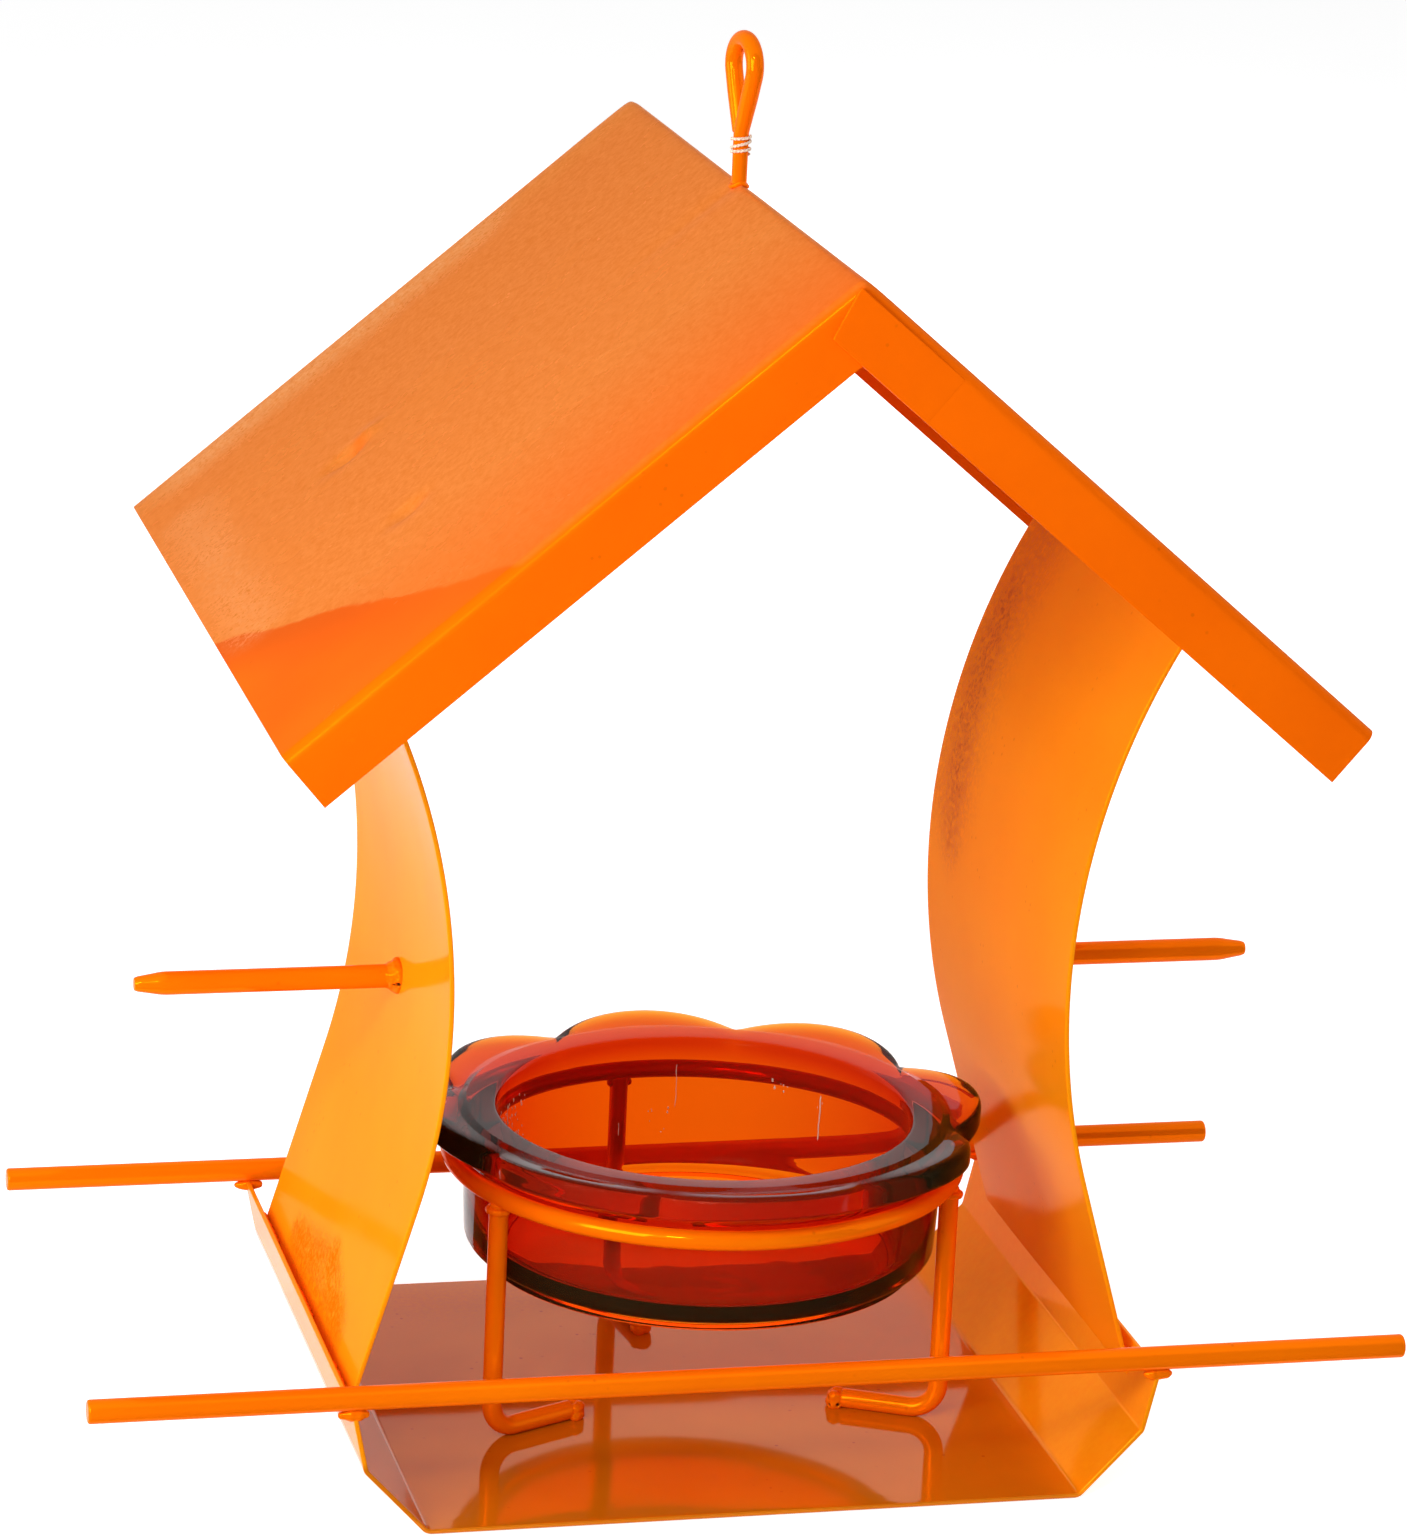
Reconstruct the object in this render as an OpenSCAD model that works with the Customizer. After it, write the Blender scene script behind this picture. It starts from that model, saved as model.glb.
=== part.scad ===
// Hanging oriole feeder: a folded sheet roof on two waisted side panels, a folded tray,
// long perch rods, fruit spikes and a scalloped glass bowl that lifts out of a wire stand.
// Millimetres. X runs along the perches, Y along the ridge with the front at -Y, Z is up.
// The origin is the middle of the tray's underside.

/* [Sheet metal] */
// Thickness of the painted sheet
sheet_t = 1; // [0.8:0.1:1.4]
// Inside radius of every fold
fold_r = 1.5; // [1:0.25:2.5]

/* [Roof] */
// Depth of the roof along the ridge, over its two fascias
roof_depth = 202; // [160:1:244]
// Length of each slope, from the ridge to the eave
roof_slope = 143; // [118:1:172]
// Pitch of each slope, in degrees
roof_pitch = 40; // [34:0.5:46]
// Height of the ridge above the tray's underside
ridge_z = 268; // [240:1:322]
// Width of the fascias turned down at the front and rear
fascia_w = 13; // [8:0.5:18]
// Length over which one fascia eases out to lap the other at the apex
lap_len = 30; // [15:1:40]

/* [Side panels] */
// Depth of each side panel along the ridge
panel_depth = 106; // [80:1:128]
// Radius of the panel's curve below the waist, on its outer face
panel_r = 148; // [123:1:178]
// Length of roof slope beyond the panel's outer face
eave_overhang = 23.8; // [19:0.1:29]
// Height of the waist, where the panels come closest
waist_z = 107; // [96:1:128]
// Lean of the straight lower part of the panel, in degrees
panel_lean = 16.5; // [13:0.5:20]
// How far below the flange's top the panel meets it
panel_seat = 5; // [3:0.5:7]
// Space between the bowl's petals and the nearer panel's waist
waist_gap = 1.2; // [1:0.1:8]

/* [Tray] */
// Space between the stand's legs and the perches
perch_gap = 7.8; // [6:0.1:12]
// Height of the tray's flanges
tray_h = 28; // [24:0.5:34]
// Length of the sloped facet between floor and flange
facet_len = 19.5; // [16:0.5:22]
// Slope of the facet above the floor, in degrees
facet_angle = 47; // [40:1:52]
// Slope of the flange above the floor, in degrees
flange_angle = 78; // [72:1:84]

/* [Perches and spikes] */
// Length of the perch rods
perch_len = 280; // [233:1:336]
// Diameter of the perch rods
perch_d = 5; // [4:0.25:6]
// Inset of the perch axes from the tray's front and rear edges
perch_inset = 1; // [0:0.25:3]
// Length of the fruit spikes, from the waist to the tip
spike_len = 56.5; // [47:0.5:68]
// Diameter of the fruit spikes
spike_d = 5; // [4:0.25:6]
// Length of the spike's tapered tip
spike_taper = 6; // [4:0.5:8]
// Diameter of the spike's blunt end
spike_tip_d = 3; // [2:0.25:3.5]
// Step down to the spike's root inside its weld, on the radius
spike_root_step = 0.2; // [0.1:0.05:0.4]
// Height of the spikes below the waist
spike_drop = 9; // [4:0.5:14]

/* [Stand] */
// Diameter of the stand's wire
wire_d = 4.2; // [3.5:0.1:5]
// Height of the ring's wire above the tray's underside
ring_z = 56; // [50:0.5:67]
// Radial clearance between the bowl and the ring
ring_clearance = 0.5; // [0.3:0.1:1.5]
// Distance of the stand from the tray's middle, to the right
stand_x = 2; // [-4:0.5:4]
// Directions of the rear, left and right legs from the stand's axis, in degrees
leg_angles = [97, 205, 333]; // [0:1:360]
// Radius of the bend at the foot, on the wire's axis
foot_bend_r = 6; // [5:0.5:8]
// Length of each foot, from the leg's axis to its end
foot_len = 21; // [17:0.5:26]

/* [Glass bowl] */
// Outer radius of the bowl's wall inside the ring
bowl_r = 52; // [43:0.5:62.5]
// Thickness of the wall
bowl_wall = 7.2; // [5:0.1:9]
// Taper of the wall from shoulder to base, on the radius
bowl_draft = 1; // [0:0.1:2]
// Height of the bowl from its foot to its petals' tips
bowl_h = 35; // [31:0.5:42]
// Thickness of the floor, with its foot
bowl_floor = 5.5; // [4:0.1:7]
// Rounding of the bowl's base, outside and inside
bowl_round = 6; // [4:0.5:7]
// Width of the foot rim under the bowl
foot_rim_w = 5; // [3:0.5:8]
// Height of the foot rim
foot_rim_h = 1.2; // [0.8:0.1:1.8]
// Height of the petals' tips above the ring's wire
rim_rise = 12; // [11:0.5:14]
// Height of the petals' tips above the mouth
petal_lift = 2.5; // [1:0.25:3]
// Thickness of the petals at their tips
petal_t = 4.5; // [3.5:0.25:5.5]
// Number of petals
petal_count = 8; // [6:1:10]
// How far the notches between petals stand out from the wall
notch_out = 3.2; // [2.8:0.1:5]
// How far the petals stand out beyond their notches
petal_out = 6.3; // [5:0.1:9]
// Turn of the petals about the bowl's axis, in degrees
petal_turn = 1.5; // [0:0.5:45]
// Gap between the seated bowl and the ring
seat_gap = 0.3; // [0.2:0.05:0.5]

/* [Hanging loop] */
// Diameter of the loop's wire
loop_wire_d = 3.2; // [2.6:0.1:3.8]
// Inside radius of the loop's round top
eye_r = 3.7; // [3.2:0.1:5]
// Radius of the kink where the loop leaves the stem, on the wire's axis
kink_r = 3; // [2.5:0.25:4]
// Lean of the loop's two sides, in degrees
kink_turn = 22.7; // [18:0.1:28]
// Height of the straight stem above the ridge
stem_h = 9.4; // [7.8:0.1:11.4]
// Gap between the loop's tail and its other side
tail_gap = 0.4; // [0.3:0.1:1]
// Turn of the loop from the perches, in degrees
loop_turn = -78; // [-90:1:-60]
// Diameter of the thread tied round the stem
thread_d = 0.6; // [0.5:0.05:0.8]
// Rise of the thread for each turn
thread_pitch = 1.3; // [1.25:0.05:1.5]
// Number of turns of thread
thread_turns = 3; // [2:0.5:3]

/* [Welds] */
// Radius of the weld nuggets under the perches, at the flange
perch_weld_r = 2.4; // [1.8:0.1:2.6]
// Radius of those nuggets at their thin end
perch_weld_tip = 1.2; // [0.8:0.1:1.6]
// Length of those nuggets along the perches
perch_weld_len = 3.6; // [2.5:0.1:5]
// Depth of those nuggets' axes below the flange's top
perch_weld_drop = 0.5; // [0.2:0.1:1]
// Size of the fillets at the spikes, the legs and the loop
collar_weld = 2.2; // [1.5:0.1:3]
// Leg of the fillets along the panels
seam_weld = 2.6; // [1.5:0.1:3.5]
// Length of each seam weld
seam_len = 18; // [10:1:22]
// Number of seam welds along each panel edge
seam_count = 3; // [2:1:4]
// Height of the fillets in the grooves between panel and flange
groove_weld = 4; // [2:0.1:5]
// How far the feet's nuggets spread beyond the wire
foot_weld = 1.7; // [1:0.1:2.5]
// Height of the feet's nuggets
foot_weld_h = 2.9; // [2:0.1:3.4]

/* [Hidden] */
$fn = 96;

// A length beyond every part, for half spaces
far = 600;
// How far a weld is drawn into the sheet before the sheet is cut out of it
weld_bite = 0.4;
// How far a panel's straight leg runs into its curve
seam = 0.02;
// Sides of the panel's curve, for previews
panel_fn = 720;
// How far a panel's leg is drawn past its seat before it is cut to the flange
seat_over = 4;
// Outer radius of a fold
fold_out = fold_r + sheet_t;
// Flats that make up each fold
fold_steps = 10;
// Distance from a fold's outer corner to where its curve begins
function setback(angle) = fold_out * tan(angle / 2);

// Bowl, from the ring outwards
ring_r = bowl_r + ring_clearance + wire_d / 2;
notch_r = bowl_r + notch_out;
tip_r = notch_r + petal_out;
rim_z = ring_z + rim_rise;
bowl_z = rim_z - bowl_h;
mouth_z = rim_z - petal_lift;
bowl_base_r = bowl_r - bowl_draft;
mouth_r = bowl_r - bowl_wall;
floor_z = bowl_z + bowl_floor;
petal_half = 180 / petal_count;
// Share by which the petals' faces run past their tips before they are cut to the lobes
past_tip = 0.2;
// How far inside the notches the petals' undersides begin
notch_step = 0.5;
// Round lobes that meet at the notches and reach the tips
lobe_at = (tip_r ^ 2 - notch_r ^ 2) / (2 * (tip_r - notch_r * cos(petal_half)));
lobe_r = tip_r - lobe_at;
// The shoulder is a 45 degree cone that clears the ring's wire by the seat gap
shoulder_z = ring_z - ring_r + bowl_r + (wire_d / 2 + seat_gap) * sqrt(2);

// Side panel, from the bowl outwards
waist_out = tip_r + abs(stand_x) + waist_gap + sheet_t;
panel_cx = waist_out + panel_r;
seat_z = tray_h - panel_seat;
leg_top = [panel_cx - panel_r * cos(panel_lean), waist_z - panel_r * sin(panel_lean)];
leg_len = (leg_top.y - seat_z) / cos(panel_lean);
seat_x = leg_top.x + leg_len * sin(panel_lean);
// Where the panel's outer face meets the roof's underside
roof_n = [sin(roof_pitch), cos(roof_pitch)];
roof_u = [cos(roof_pitch), -sin(roof_pitch)];
panel_top = [0, ridge_z] + (roof_slope - eave_overhang) * roof_u - sheet_t * roof_n;
// Radius of the curve from the waist up to there, in whole hundredths
top_out = panel_top - [waist_out, waist_z];
upper_r = round(100 * (top_out * top_out) / (2 * top_out.x)) / 100;
upper_c = [waist_out + upper_r, waist_z];

// Tray, under the panels' seats, as deep as the stand and the perches need
perch_y = ring_r + wire_d / 2 + perch_gap + perch_d / 2;
tray_depth = 2 * (perch_y + perch_inset);
facet = facet_len * [cos(facet_angle), sin(facet_angle)];
flange_dir = [cos(flange_angle), sin(flange_angle)];
flange_in = sheet_t * [-flange_dir.y, flange_dir.x];
// From the floor's fold to the flange's inner face at the panel's seat
seat_run = facet.x + flange_in.x + (seat_z - facet.y - flange_in.y) / tan(flange_angle);
floor_half = seat_x - seat_run;
flange_foot = [floor_half, 0] + facet;
flange_top_x = flange_foot.x + flange_in.x / 2 + (tray_h - facet.y) / tan(flange_angle);
flange_len = (tray_h - facet.y) / flange_dir.y + sheet_t;

// Rods and wires
perch_z = tray_h + perch_d / 2;
spike_z = waist_z - spike_drop;
// Length of the spike's root, from the middle of the panel's sheet to the weld's end
spike_root = collar_weld + sheet_t / 2;
foot_z = sheet_t + wire_d / 2;
foot_end_r = ring_r - foot_len;

// Loop: the stem kinks to the front, and the round top brings the wire back beside it
eye_mid_r = eye_r + loop_wire_d / 2;
kink_z = ridge_z + stem_h;
kink_out = kink_r * (1 - cos(kink_turn));
side_len = (eye_mid_r * cos(kink_turn) - kink_out) / sin(kink_turn);
tail_len = side_len - ((loop_wire_d + tail_gap) / 2 - kink_out) / sin(kink_turn);

// Thread: a helix just clear of the stem
thread_sides = 6;
thread_clear = 0.05;
thread_rings = 24;
thread_coil_r = loop_wire_d / 2 + thread_d / 2 + thread_clear;
thread_z0 = kink_z - thread_turns * thread_pitch - thread_d / 2;
thread_steps = round(thread_turns * thread_rings);
function thread_at(i) = let (a = 360 * i / thread_rings)
    [thread_coil_r * cos(a), thread_coil_r * sin(a), thread_z0 + thread_pitch * i / thread_rings];
thread_gap = min([for (i = [0:thread_steps]) for (j = [i + thread_rings / 2:thread_steps])
    norm(thread_at(i) - thread_at(j))]) - thread_d;
echo(str("tie_thread least gap to itself: ", thread_gap, " mm"));

// A sheet's outline runs along its outside: each leg has a length and the fold to the left after it
function heading(legs, i) = i == 0 ? 0 : heading(legs, i - 1) + legs[i - 1][1];
function ahead(angle) = [cos(angle), sin(angle)];
function left_of(angle) = [-sin(angle), cos(angle)];
function leg_end(legs, i) = legs[i][0] * ahead(heading(legs, i)) + (i == 0 ? [0, 0] : leg_end(legs, i - 1)
    + fold_out * (left_of(heading(legs, i - 1)) - left_of(heading(legs, i))));
// Points round the fold after a leg, on the face that lies a little inside the outside
function fold_points(legs, i, inside) =
    let (from = heading(legs, i), mid = leg_end(legs, i) + fold_out * left_of(from))
    [for (k = [0:fold_steps]) mid - (fold_out - inside) * left_of(from + legs[i][1] * k / fold_steps)];
// Points of one face, from the first fold to the last leg's end
function face_points(legs, inside) = let (last = len(legs) - 1)
    concat([for (i = [0:last - 1]) each fold_points(legs, i, inside)],
        [leg_end(legs, last) + inside * left_of(heading(legs, last))]);
function reversed(list) = [for (i = [len(list) - 1:-1:0]) list[i]];

// Flat outline of a sheet with the same folds to the right and the left of its middle
module sheet_outline(legs) {
    outside = face_points(legs, 0);
    right = concat(outside, reversed(face_points(legs, sheet_t)));
    polygon(concat(right, [for (p = reversed(right)) [-p.x, p.y]]));
}

// Draws a profile in X and Z and gives it a depth along Y
module along_ridge(depth) rotate([90, 0, 0]) linear_extrude(depth, center = true) children();

// Everything above the underside of the right slope
module above_right_slope() translate([0, 0, ridge_z]) rotate([0, roof_pitch, 0])
    translate([-far, -far, -sheet_t]) cube([2 * far, 2 * far, far]);

// Everything under the roof's outer faces
module under_roof() for (turn = [0, 180]) rotate([0, 0, turn]) translate([0, 0, ridge_z])
    rotate([0, roof_pitch, 0]) translate([0, -far, -far]) cube([far, 2 * far, far]);

// The right half of the roof, with the front fascia that laps over the left one
module roof_half() {
    half = roof_depth / 2;
    translate([0, 0, ridge_z]) rotate([0, roof_pitch, 0]) rotate([-90, 0, 0]) rotate([0, 90, 0]) {
        linear_extrude(roof_slope) sheet_outline([[half - fold_out, 90], [fascia_w - fold_out, 0]]);
        translate([half, fascia_w, 0]) rotate([90, 0, 0]) linear_extrude(fascia_w - fold_out)
            polygon([[0, 0], [sheet_t, 0], [0, lap_len]]);
    }
}

module roof() color("darkorange") for (turn = [0, 180]) rotate([0, 0, turn]) roof_half();

// A ring of sheet outside a radius
module curve_ring(radius) difference() {
    circle(radius + sheet_t, $fn = panel_fn);
    circle(radius, $fn = panel_fn);
}

// Outline of the right panel: curves above and below the waist, then a straight leg, cut to the flange
module panel_outline() difference() {
    union() {
        translate(upper_c) intersection() {
            curve_ring(upper_r);
            translate([-far, 0]) square(far);
        }
        translate([panel_cx, waist_z]) intersection() {
            curve_ring(panel_r);
            polygon([[0, 0], far * [-cos(panel_lean), -sin(panel_lean)], [-far, 0]]);
        }
        translate(leg_top) rotate(180 + panel_lean) translate([0, -seam])
            square([sheet_t, leg_len + seat_over]);
    }
    translate(flange_foot + flange_in) rotate(flange_angle) translate([-far, -far]) square([2 * far, far]);
}

module right_panel_sheet() difference() {
    along_ridge(panel_depth) panel_outline();
    above_right_slope();
}

module right_side_panel() color("orange") right_panel_sheet();

module left_side_panel() color("orange") mirror([1, 0, 0]) right_panel_sheet();

module tray_sheet() along_ridge(tray_depth) intersection() {
    sheet_outline([
        [floor_half - setback(facet_angle), facet_angle],
        [facet_len - setback(facet_angle) - setback(flange_angle - facet_angle), flange_angle - facet_angle],
        [flange_len - setback(flange_angle - facet_angle), 0]]);
    translate([-far, 0]) square([2 * far, tray_h]);
}

module base_tray() color("darkorange") tray_sheet();

// A perch on the tray's flanges, at the front or the rear
module perch(side) translate([0, side * perch_y, perch_z]) rotate([0, 90, 0])
    cylinder(d = perch_d, h = perch_len, center = true);

module front_perch() color("darkorange") perch(-1);

module rear_perch() color("darkorange") perch(1);

// The space outside the right panel's curve
module outside_right_panel() translate([panel_cx, 0, waist_z]) rotate([90, 0, 0])
    cylinder(r = panel_r, h = far, center = true, $fn = panel_fn);

// The right spike, its root shaped to the panel's curve
module right_spike() intersection() {
    translate([waist_out - sheet_t / 2, 0, spike_z]) rotate([0, 90, 0]) {
        straight = spike_len - spike_taper + sheet_t / 2;
        cylinder(r = spike_d / 2 - spike_root_step, h = spike_root);
        translate([0, 0, spike_root]) cylinder(d = spike_d, h = straight - spike_root);
        translate([0, 0, straight]) cylinder(d1 = spike_d, d2 = spike_tip_d, h = spike_taper);
    }
    outside_right_panel();
}

module right_fruit_spike() color("darkorange") right_spike();

module left_fruit_spike() color("darkorange") mirror([1, 0, 0]) right_spike();

module ring_wire() translate([0, 0, ring_z]) rotate_extrude() translate([ring_r, 0]) circle(d = wire_d);

module stand_ring() color("darkorange") at_stand() ring_wire();

// Places a piece on the stand's axis, or on the axis of the leg that stands in a direction
module at_stand(angle = 0) translate([stand_x, 0, 0]) rotate([0, 0, angle]) children();

// Places a piece at each leg in turn
module at_legs() for (angle = leg_angles) at_stand(angle) children();

// A leg in the X Z plane: straight down from the ring, round the bend and in along the floor
module leg_wire() {
    bend_z = foot_z + foot_bend_r;
    bend_x = ring_r - foot_bend_r;
    translate([ring_r, 0, bend_z]) cylinder(d = wire_d, h = ring_z - wire_d / 2 - bend_z);
    translate([bend_x, 0, bend_z]) rotate([90, 0, 0]) rotate([0, 0, -90])
        rotate_extrude(angle = 90) translate([foot_bend_r, 0]) circle(d = wire_d);
    translate([foot_end_r, 0, foot_z]) rotate([0, 90, 0]) cylinder(d = wire_d, h = bend_x - foot_end_r);
}

module stand_leg_rear() color("darkorange") at_stand(leg_angles[0]) leg_wire();

module stand_leg_left() color("darkorange") at_stand(leg_angles[1]) leg_wire();

module stand_leg_right() color("darkorange") at_stand(leg_angles[2]) leg_wire();

// Half section of the bowl, as if its petals were one round rim that runs a little past their tips
module bowl_section() {
    foot_r = bowl_base_r - bowl_round + foot_rim_w / 2;
    base_z = bowl_z + foot_rim_h;
    notch = [notch_r, shoulder_z + notch_out] - notch_step * [1, 1];
    under_tip = [tip_r, rim_z - petal_t];
    top_tip = [tip_r, rim_z];
    mouth = [mouth_r, mouth_z];
    difference() {
        union() {
            translate([0, base_z]) square([bowl_base_r - bowl_round, bowl_round]);
            translate([bowl_base_r - bowl_round, base_z + bowl_round]) circle(bowl_round);
            polygon([[0, base_z + bowl_round], [bowl_base_r, base_z + bowl_round], [bowl_r, shoulder_z],
                notch, under_tip + past_tip * (under_tip - notch), top_tip + past_tip * (top_tip - mouth),
                mouth, [0, mouth_z]]);
            translate([foot_r - foot_rim_w, bowl_z]) square([foot_rim_w, 2 * foot_rim_h]);
        }
        bowl_hollow();
        translate([-far, -far]) square([far, 2 * far]);
    }
}

// Half section of the space inside the bowl
module bowl_hollow() {
    inner_base_r = mouth_r - bowl_draft;
    square_base = inner_base_r - bowl_round;
    translate([0, floor_z]) square([square_base, bowl_round]);
    translate([square_base, floor_z + bowl_round]) circle(bowl_round);
    polygon([[0, floor_z + bowl_round], [inner_base_r, floor_z + bowl_round], [mouth_r, mouth_z],
        [mouth_r, far], [0, far]]);
}

module glass_bowl() color("orangered", 0.6) at_stand() intersection() {
    rotate_extrude() bowl_section();
    linear_extrude(2 * rim_z) {
        circle(lobe_at);
        for (k = [0:petal_count - 1]) rotate(petal_turn + 2 * petal_half * k)
            translate([lobe_at, 0]) circle(lobe_r);
    }
}

// A bend of the loop's wire that starts upwards and turns to +X, with what follows at its end
module wire_bend(radius, turn) translate([radius, 0, 0]) {
    rotate([-90, 0, 0]) rotate([0, 0, 180]) rotate_extrude(angle = turn)
        translate([radius, 0]) circle(d = loop_wire_d);
    rotate([0, turn, 0]) translate([-radius, 0, 0]) children();
}

// The loop's wire: stem, kink, side, round top and tail
module loop_wire() rotate([0, 0, loop_turn]) translate([0, 0, kink_z]) {
    stem = stem_h + loop_wire_d;
    translate([0, 0, -stem]) cylinder(d = loop_wire_d, h = stem);
    wire_bend(kink_r, kink_turn) {
        cylinder(d = loop_wire_d, h = side_len);
        translate([0, 0, side_len]) mirror([1, 0, 0]) wire_bend(eye_mid_r, 180 + 2 * kink_turn)
            cylinder(d = loop_wire_d, h = tail_len);
    }
}

module hanging_loop() color("darkorange") difference() {
    loop_wire();
    under_roof();
}

// The thread's tube: rings of points square to the helix, closed at both ends
module tie_thread() color("antiquewhite") {
    lean = atan(thread_pitch / (2 * PI * thread_coil_r));
    points = [for (i = [0:thread_steps]) for (s = [0:thread_sides - 1])
        let (a = 360 * i / thread_rings, b = 360 * s / thread_sides, q = thread_d / 2)
        thread_at(i) + q * cos(b) * [cos(a), sin(a), 0]
            + q * sin(b) * [sin(lean) * sin(a), -sin(lean) * cos(a), cos(lean)]];
    n = thread_sides;
    side = [for (i = [0:thread_steps - 1]) for (s = [0:n - 1]) let (r = (s + 1) % n)
        each [[i * n + s, i * n + r, (i + 1) * n + r], [i * n + s, (i + 1) * n + r, (i + 1) * n + s]]];
    first = [for (s = [1:n - 2]) [0, s + 1, s]];
    end = thread_steps * n;
    last = [for (s = [1:n - 2]) [end, end + s, end + s + 1]];
    polyhedron(points, concat(side, first, last));
}

// Nuggets under the perches, on both faces of each flange
module perch_welds() color("darkorange") for (side = [0, 1]) mirror([side, 0, 0]) difference() {
    for (y = [-1, 1]) for (turn = [-90, 90])
        translate([flange_top_x, y * perch_y, tray_h - perch_weld_drop]) rotate([0, turn, 0])
            cylinder(r1 = perch_weld_r, r2 = perch_weld_tip, h = perch_weld_len);
    along_ridge(far) translate(flange_foot) rotate(flange_angle)
        square([flange_len + perch_weld_r, sheet_t]);
    perch(-1);
    perch(1);
}

// Cones of weld round the spikes' roots
module right_spike_weld() difference() {
    intersection() {
        translate([waist_out - sheet_t / 2, 0, spike_z]) rotate([0, 90, 0])
            cylinder(r1 = spike_d / 2 + collar_weld, r2 = spike_d / 2, h = spike_root);
        outside_right_panel();
    }
    right_spike();
}

module spike_welds() color("darkorange") for (side = [0, 1]) mirror([side, 0, 0]) right_spike_weld();

// Places of the seam welds along a panel, centred on the ridge's middle
module seams() for (k = [0:seam_count - 1])
    translate([0, (k - (seam_count - 1) / 2) * (panel_depth - seam_len) / (seam_count - 1), 0])
        along_ridge(seam_len) children();

// Fillets outside the panels, under the roof: each spans the corner between the roof and the curve
module roof_panel_welds() color("darkorange") for (side = [0, 1]) mirror([side, 0, 0]) {
    roof_off = (roof_n * upper_c - ridge_z * roof_n.y + sheet_t) / upper_r;
    arm = -upper_r * (roof_off * roof_n + sqrt(1 - roof_off ^ 2) * roof_u);
    turn = seam_weld / upper_r * 180 / PI;
    toe = [arm * [cos(turn), -sin(turn)], arm * [sin(turn), cos(turn)]];
    seams() translate(upper_c) polygon([arm, toe, arm + seam_weld * roof_u]);
}

// Fillets in the grooves between the panels and the tray's flanges
module tray_panel_welds() color("darkorange") for (side = [0, 1]) mirror([side, 0, 0]) difference() {
    seat = [seat_x, seat_z];
    up = [-sin(panel_lean), cos(panel_lean)];
    seams() polygon([seat, seat + groove_weld * up - [weld_bite, 0],
        seat + groove_weld * flange_dir + [weld_bite, 0]]);
    right_panel_sheet();
    tray_sheet();
}

// Fillets under the ring, round the outer half of each leg
module leg_welds() color("darkorange") at_legs() translate([ring_r, 0, ring_z - wire_d / 2])
    rotate([0, 0, -90]) rotate_extrude(angle = 180)
        polygon([[wire_d / 2, -collar_weld], [wire_d / 2 + collar_weld / 2, 0], [wire_d / 2, 0]]);

// Nuggets that hold the feet's ends to the tray's floor
module foot_welds() color("darkorange") at_legs() translate([foot_end_r, 0, sheet_t]) intersection() {
    cylinder(r1 = wire_d / 2 + foot_weld, r2 = wire_d / 2, h = foot_weld_h);
    translate([-far, -far, 0]) cube([far, 2 * far, far]);
}

// Cone of weld round the loop's stem, astride the ridge
module loop_weld() color("darkorange") difference() {
    translate([0, 0, ridge_z - collar_weld])
        cylinder(r1 = loop_wire_d / 2 + collar_weld, r2 = loop_wire_d / 2, h = 2 * collar_weld);
    loop_wire();
    under_roof();
}

roof();
left_side_panel();
right_side_panel();
base_tray();
front_perch();
rear_perch();
left_fruit_spike();
right_fruit_spike();
stand_ring();
stand_leg_rear();
stand_leg_left();
stand_leg_right();
glass_bowl();
hanging_loop();
tie_thread();
perch_welds();
spike_welds();
roof_panel_welds();
tray_panel_welds();
leg_welds();
foot_welds();
loop_weld();
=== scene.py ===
"""Looks of a hanging oriole feeder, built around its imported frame.

Sizes in the classes are millimetres in the frame's own axes: X along the perches, Y along the
ridge with the front at -Y, Z up from the tray's underside. Meshes are written in metres.
"""

import logging
import math
from dataclasses import dataclass, field
from enum import Enum
from typing import Iterable, Sequence

import bmesh
import bpy
from mathutils import Matrix, Vector, noise


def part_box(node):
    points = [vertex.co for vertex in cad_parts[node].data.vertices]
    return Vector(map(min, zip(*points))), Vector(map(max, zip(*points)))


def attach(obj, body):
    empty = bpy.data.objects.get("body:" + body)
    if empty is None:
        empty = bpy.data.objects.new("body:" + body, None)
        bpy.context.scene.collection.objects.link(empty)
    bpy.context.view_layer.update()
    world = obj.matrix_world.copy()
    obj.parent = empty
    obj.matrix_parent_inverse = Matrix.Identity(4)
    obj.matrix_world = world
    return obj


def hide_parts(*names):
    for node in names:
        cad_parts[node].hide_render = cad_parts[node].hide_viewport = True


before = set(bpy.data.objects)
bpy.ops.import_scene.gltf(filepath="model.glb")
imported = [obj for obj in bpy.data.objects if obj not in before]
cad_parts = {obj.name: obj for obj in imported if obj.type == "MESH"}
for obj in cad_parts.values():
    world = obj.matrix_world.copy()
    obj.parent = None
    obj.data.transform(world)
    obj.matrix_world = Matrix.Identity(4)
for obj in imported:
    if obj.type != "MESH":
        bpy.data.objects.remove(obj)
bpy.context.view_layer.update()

LOG = logging.getLogger("feeder")
MM = 0.001
# name of a share kept on each vertex: the roof's painted sheen, and the panel faces that take streaks
MARK_SHARE = "weather"
PIT = "pit"
RIDGE_Z = 268.0
PITCH = 40.0
RIDGE_ROUND = 0.9
SHEET = 1.0
SHEET_EDGE = 0.3
SHEET_EDGE_STEPS = 3
SHEET_EDGE_ANGLE = 45.0
BOWL_X = 2.0

Point = tuple[float, float, float]
Colour = tuple[float, float, float]
Corner = tuple[float, float, float]
PathPoint = tuple[float, float, float, float]
Run = list[PathPoint]
Band = tuple[float, float]
Outline = list[tuple[Vector, Vector]]
Object = bpy.types.Object
Material = bpy.types.Material
Socket = bpy.types.NodeSocket

# painted light: a lit copy of the roof's orange, for the panels and the tray's sides
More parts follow.
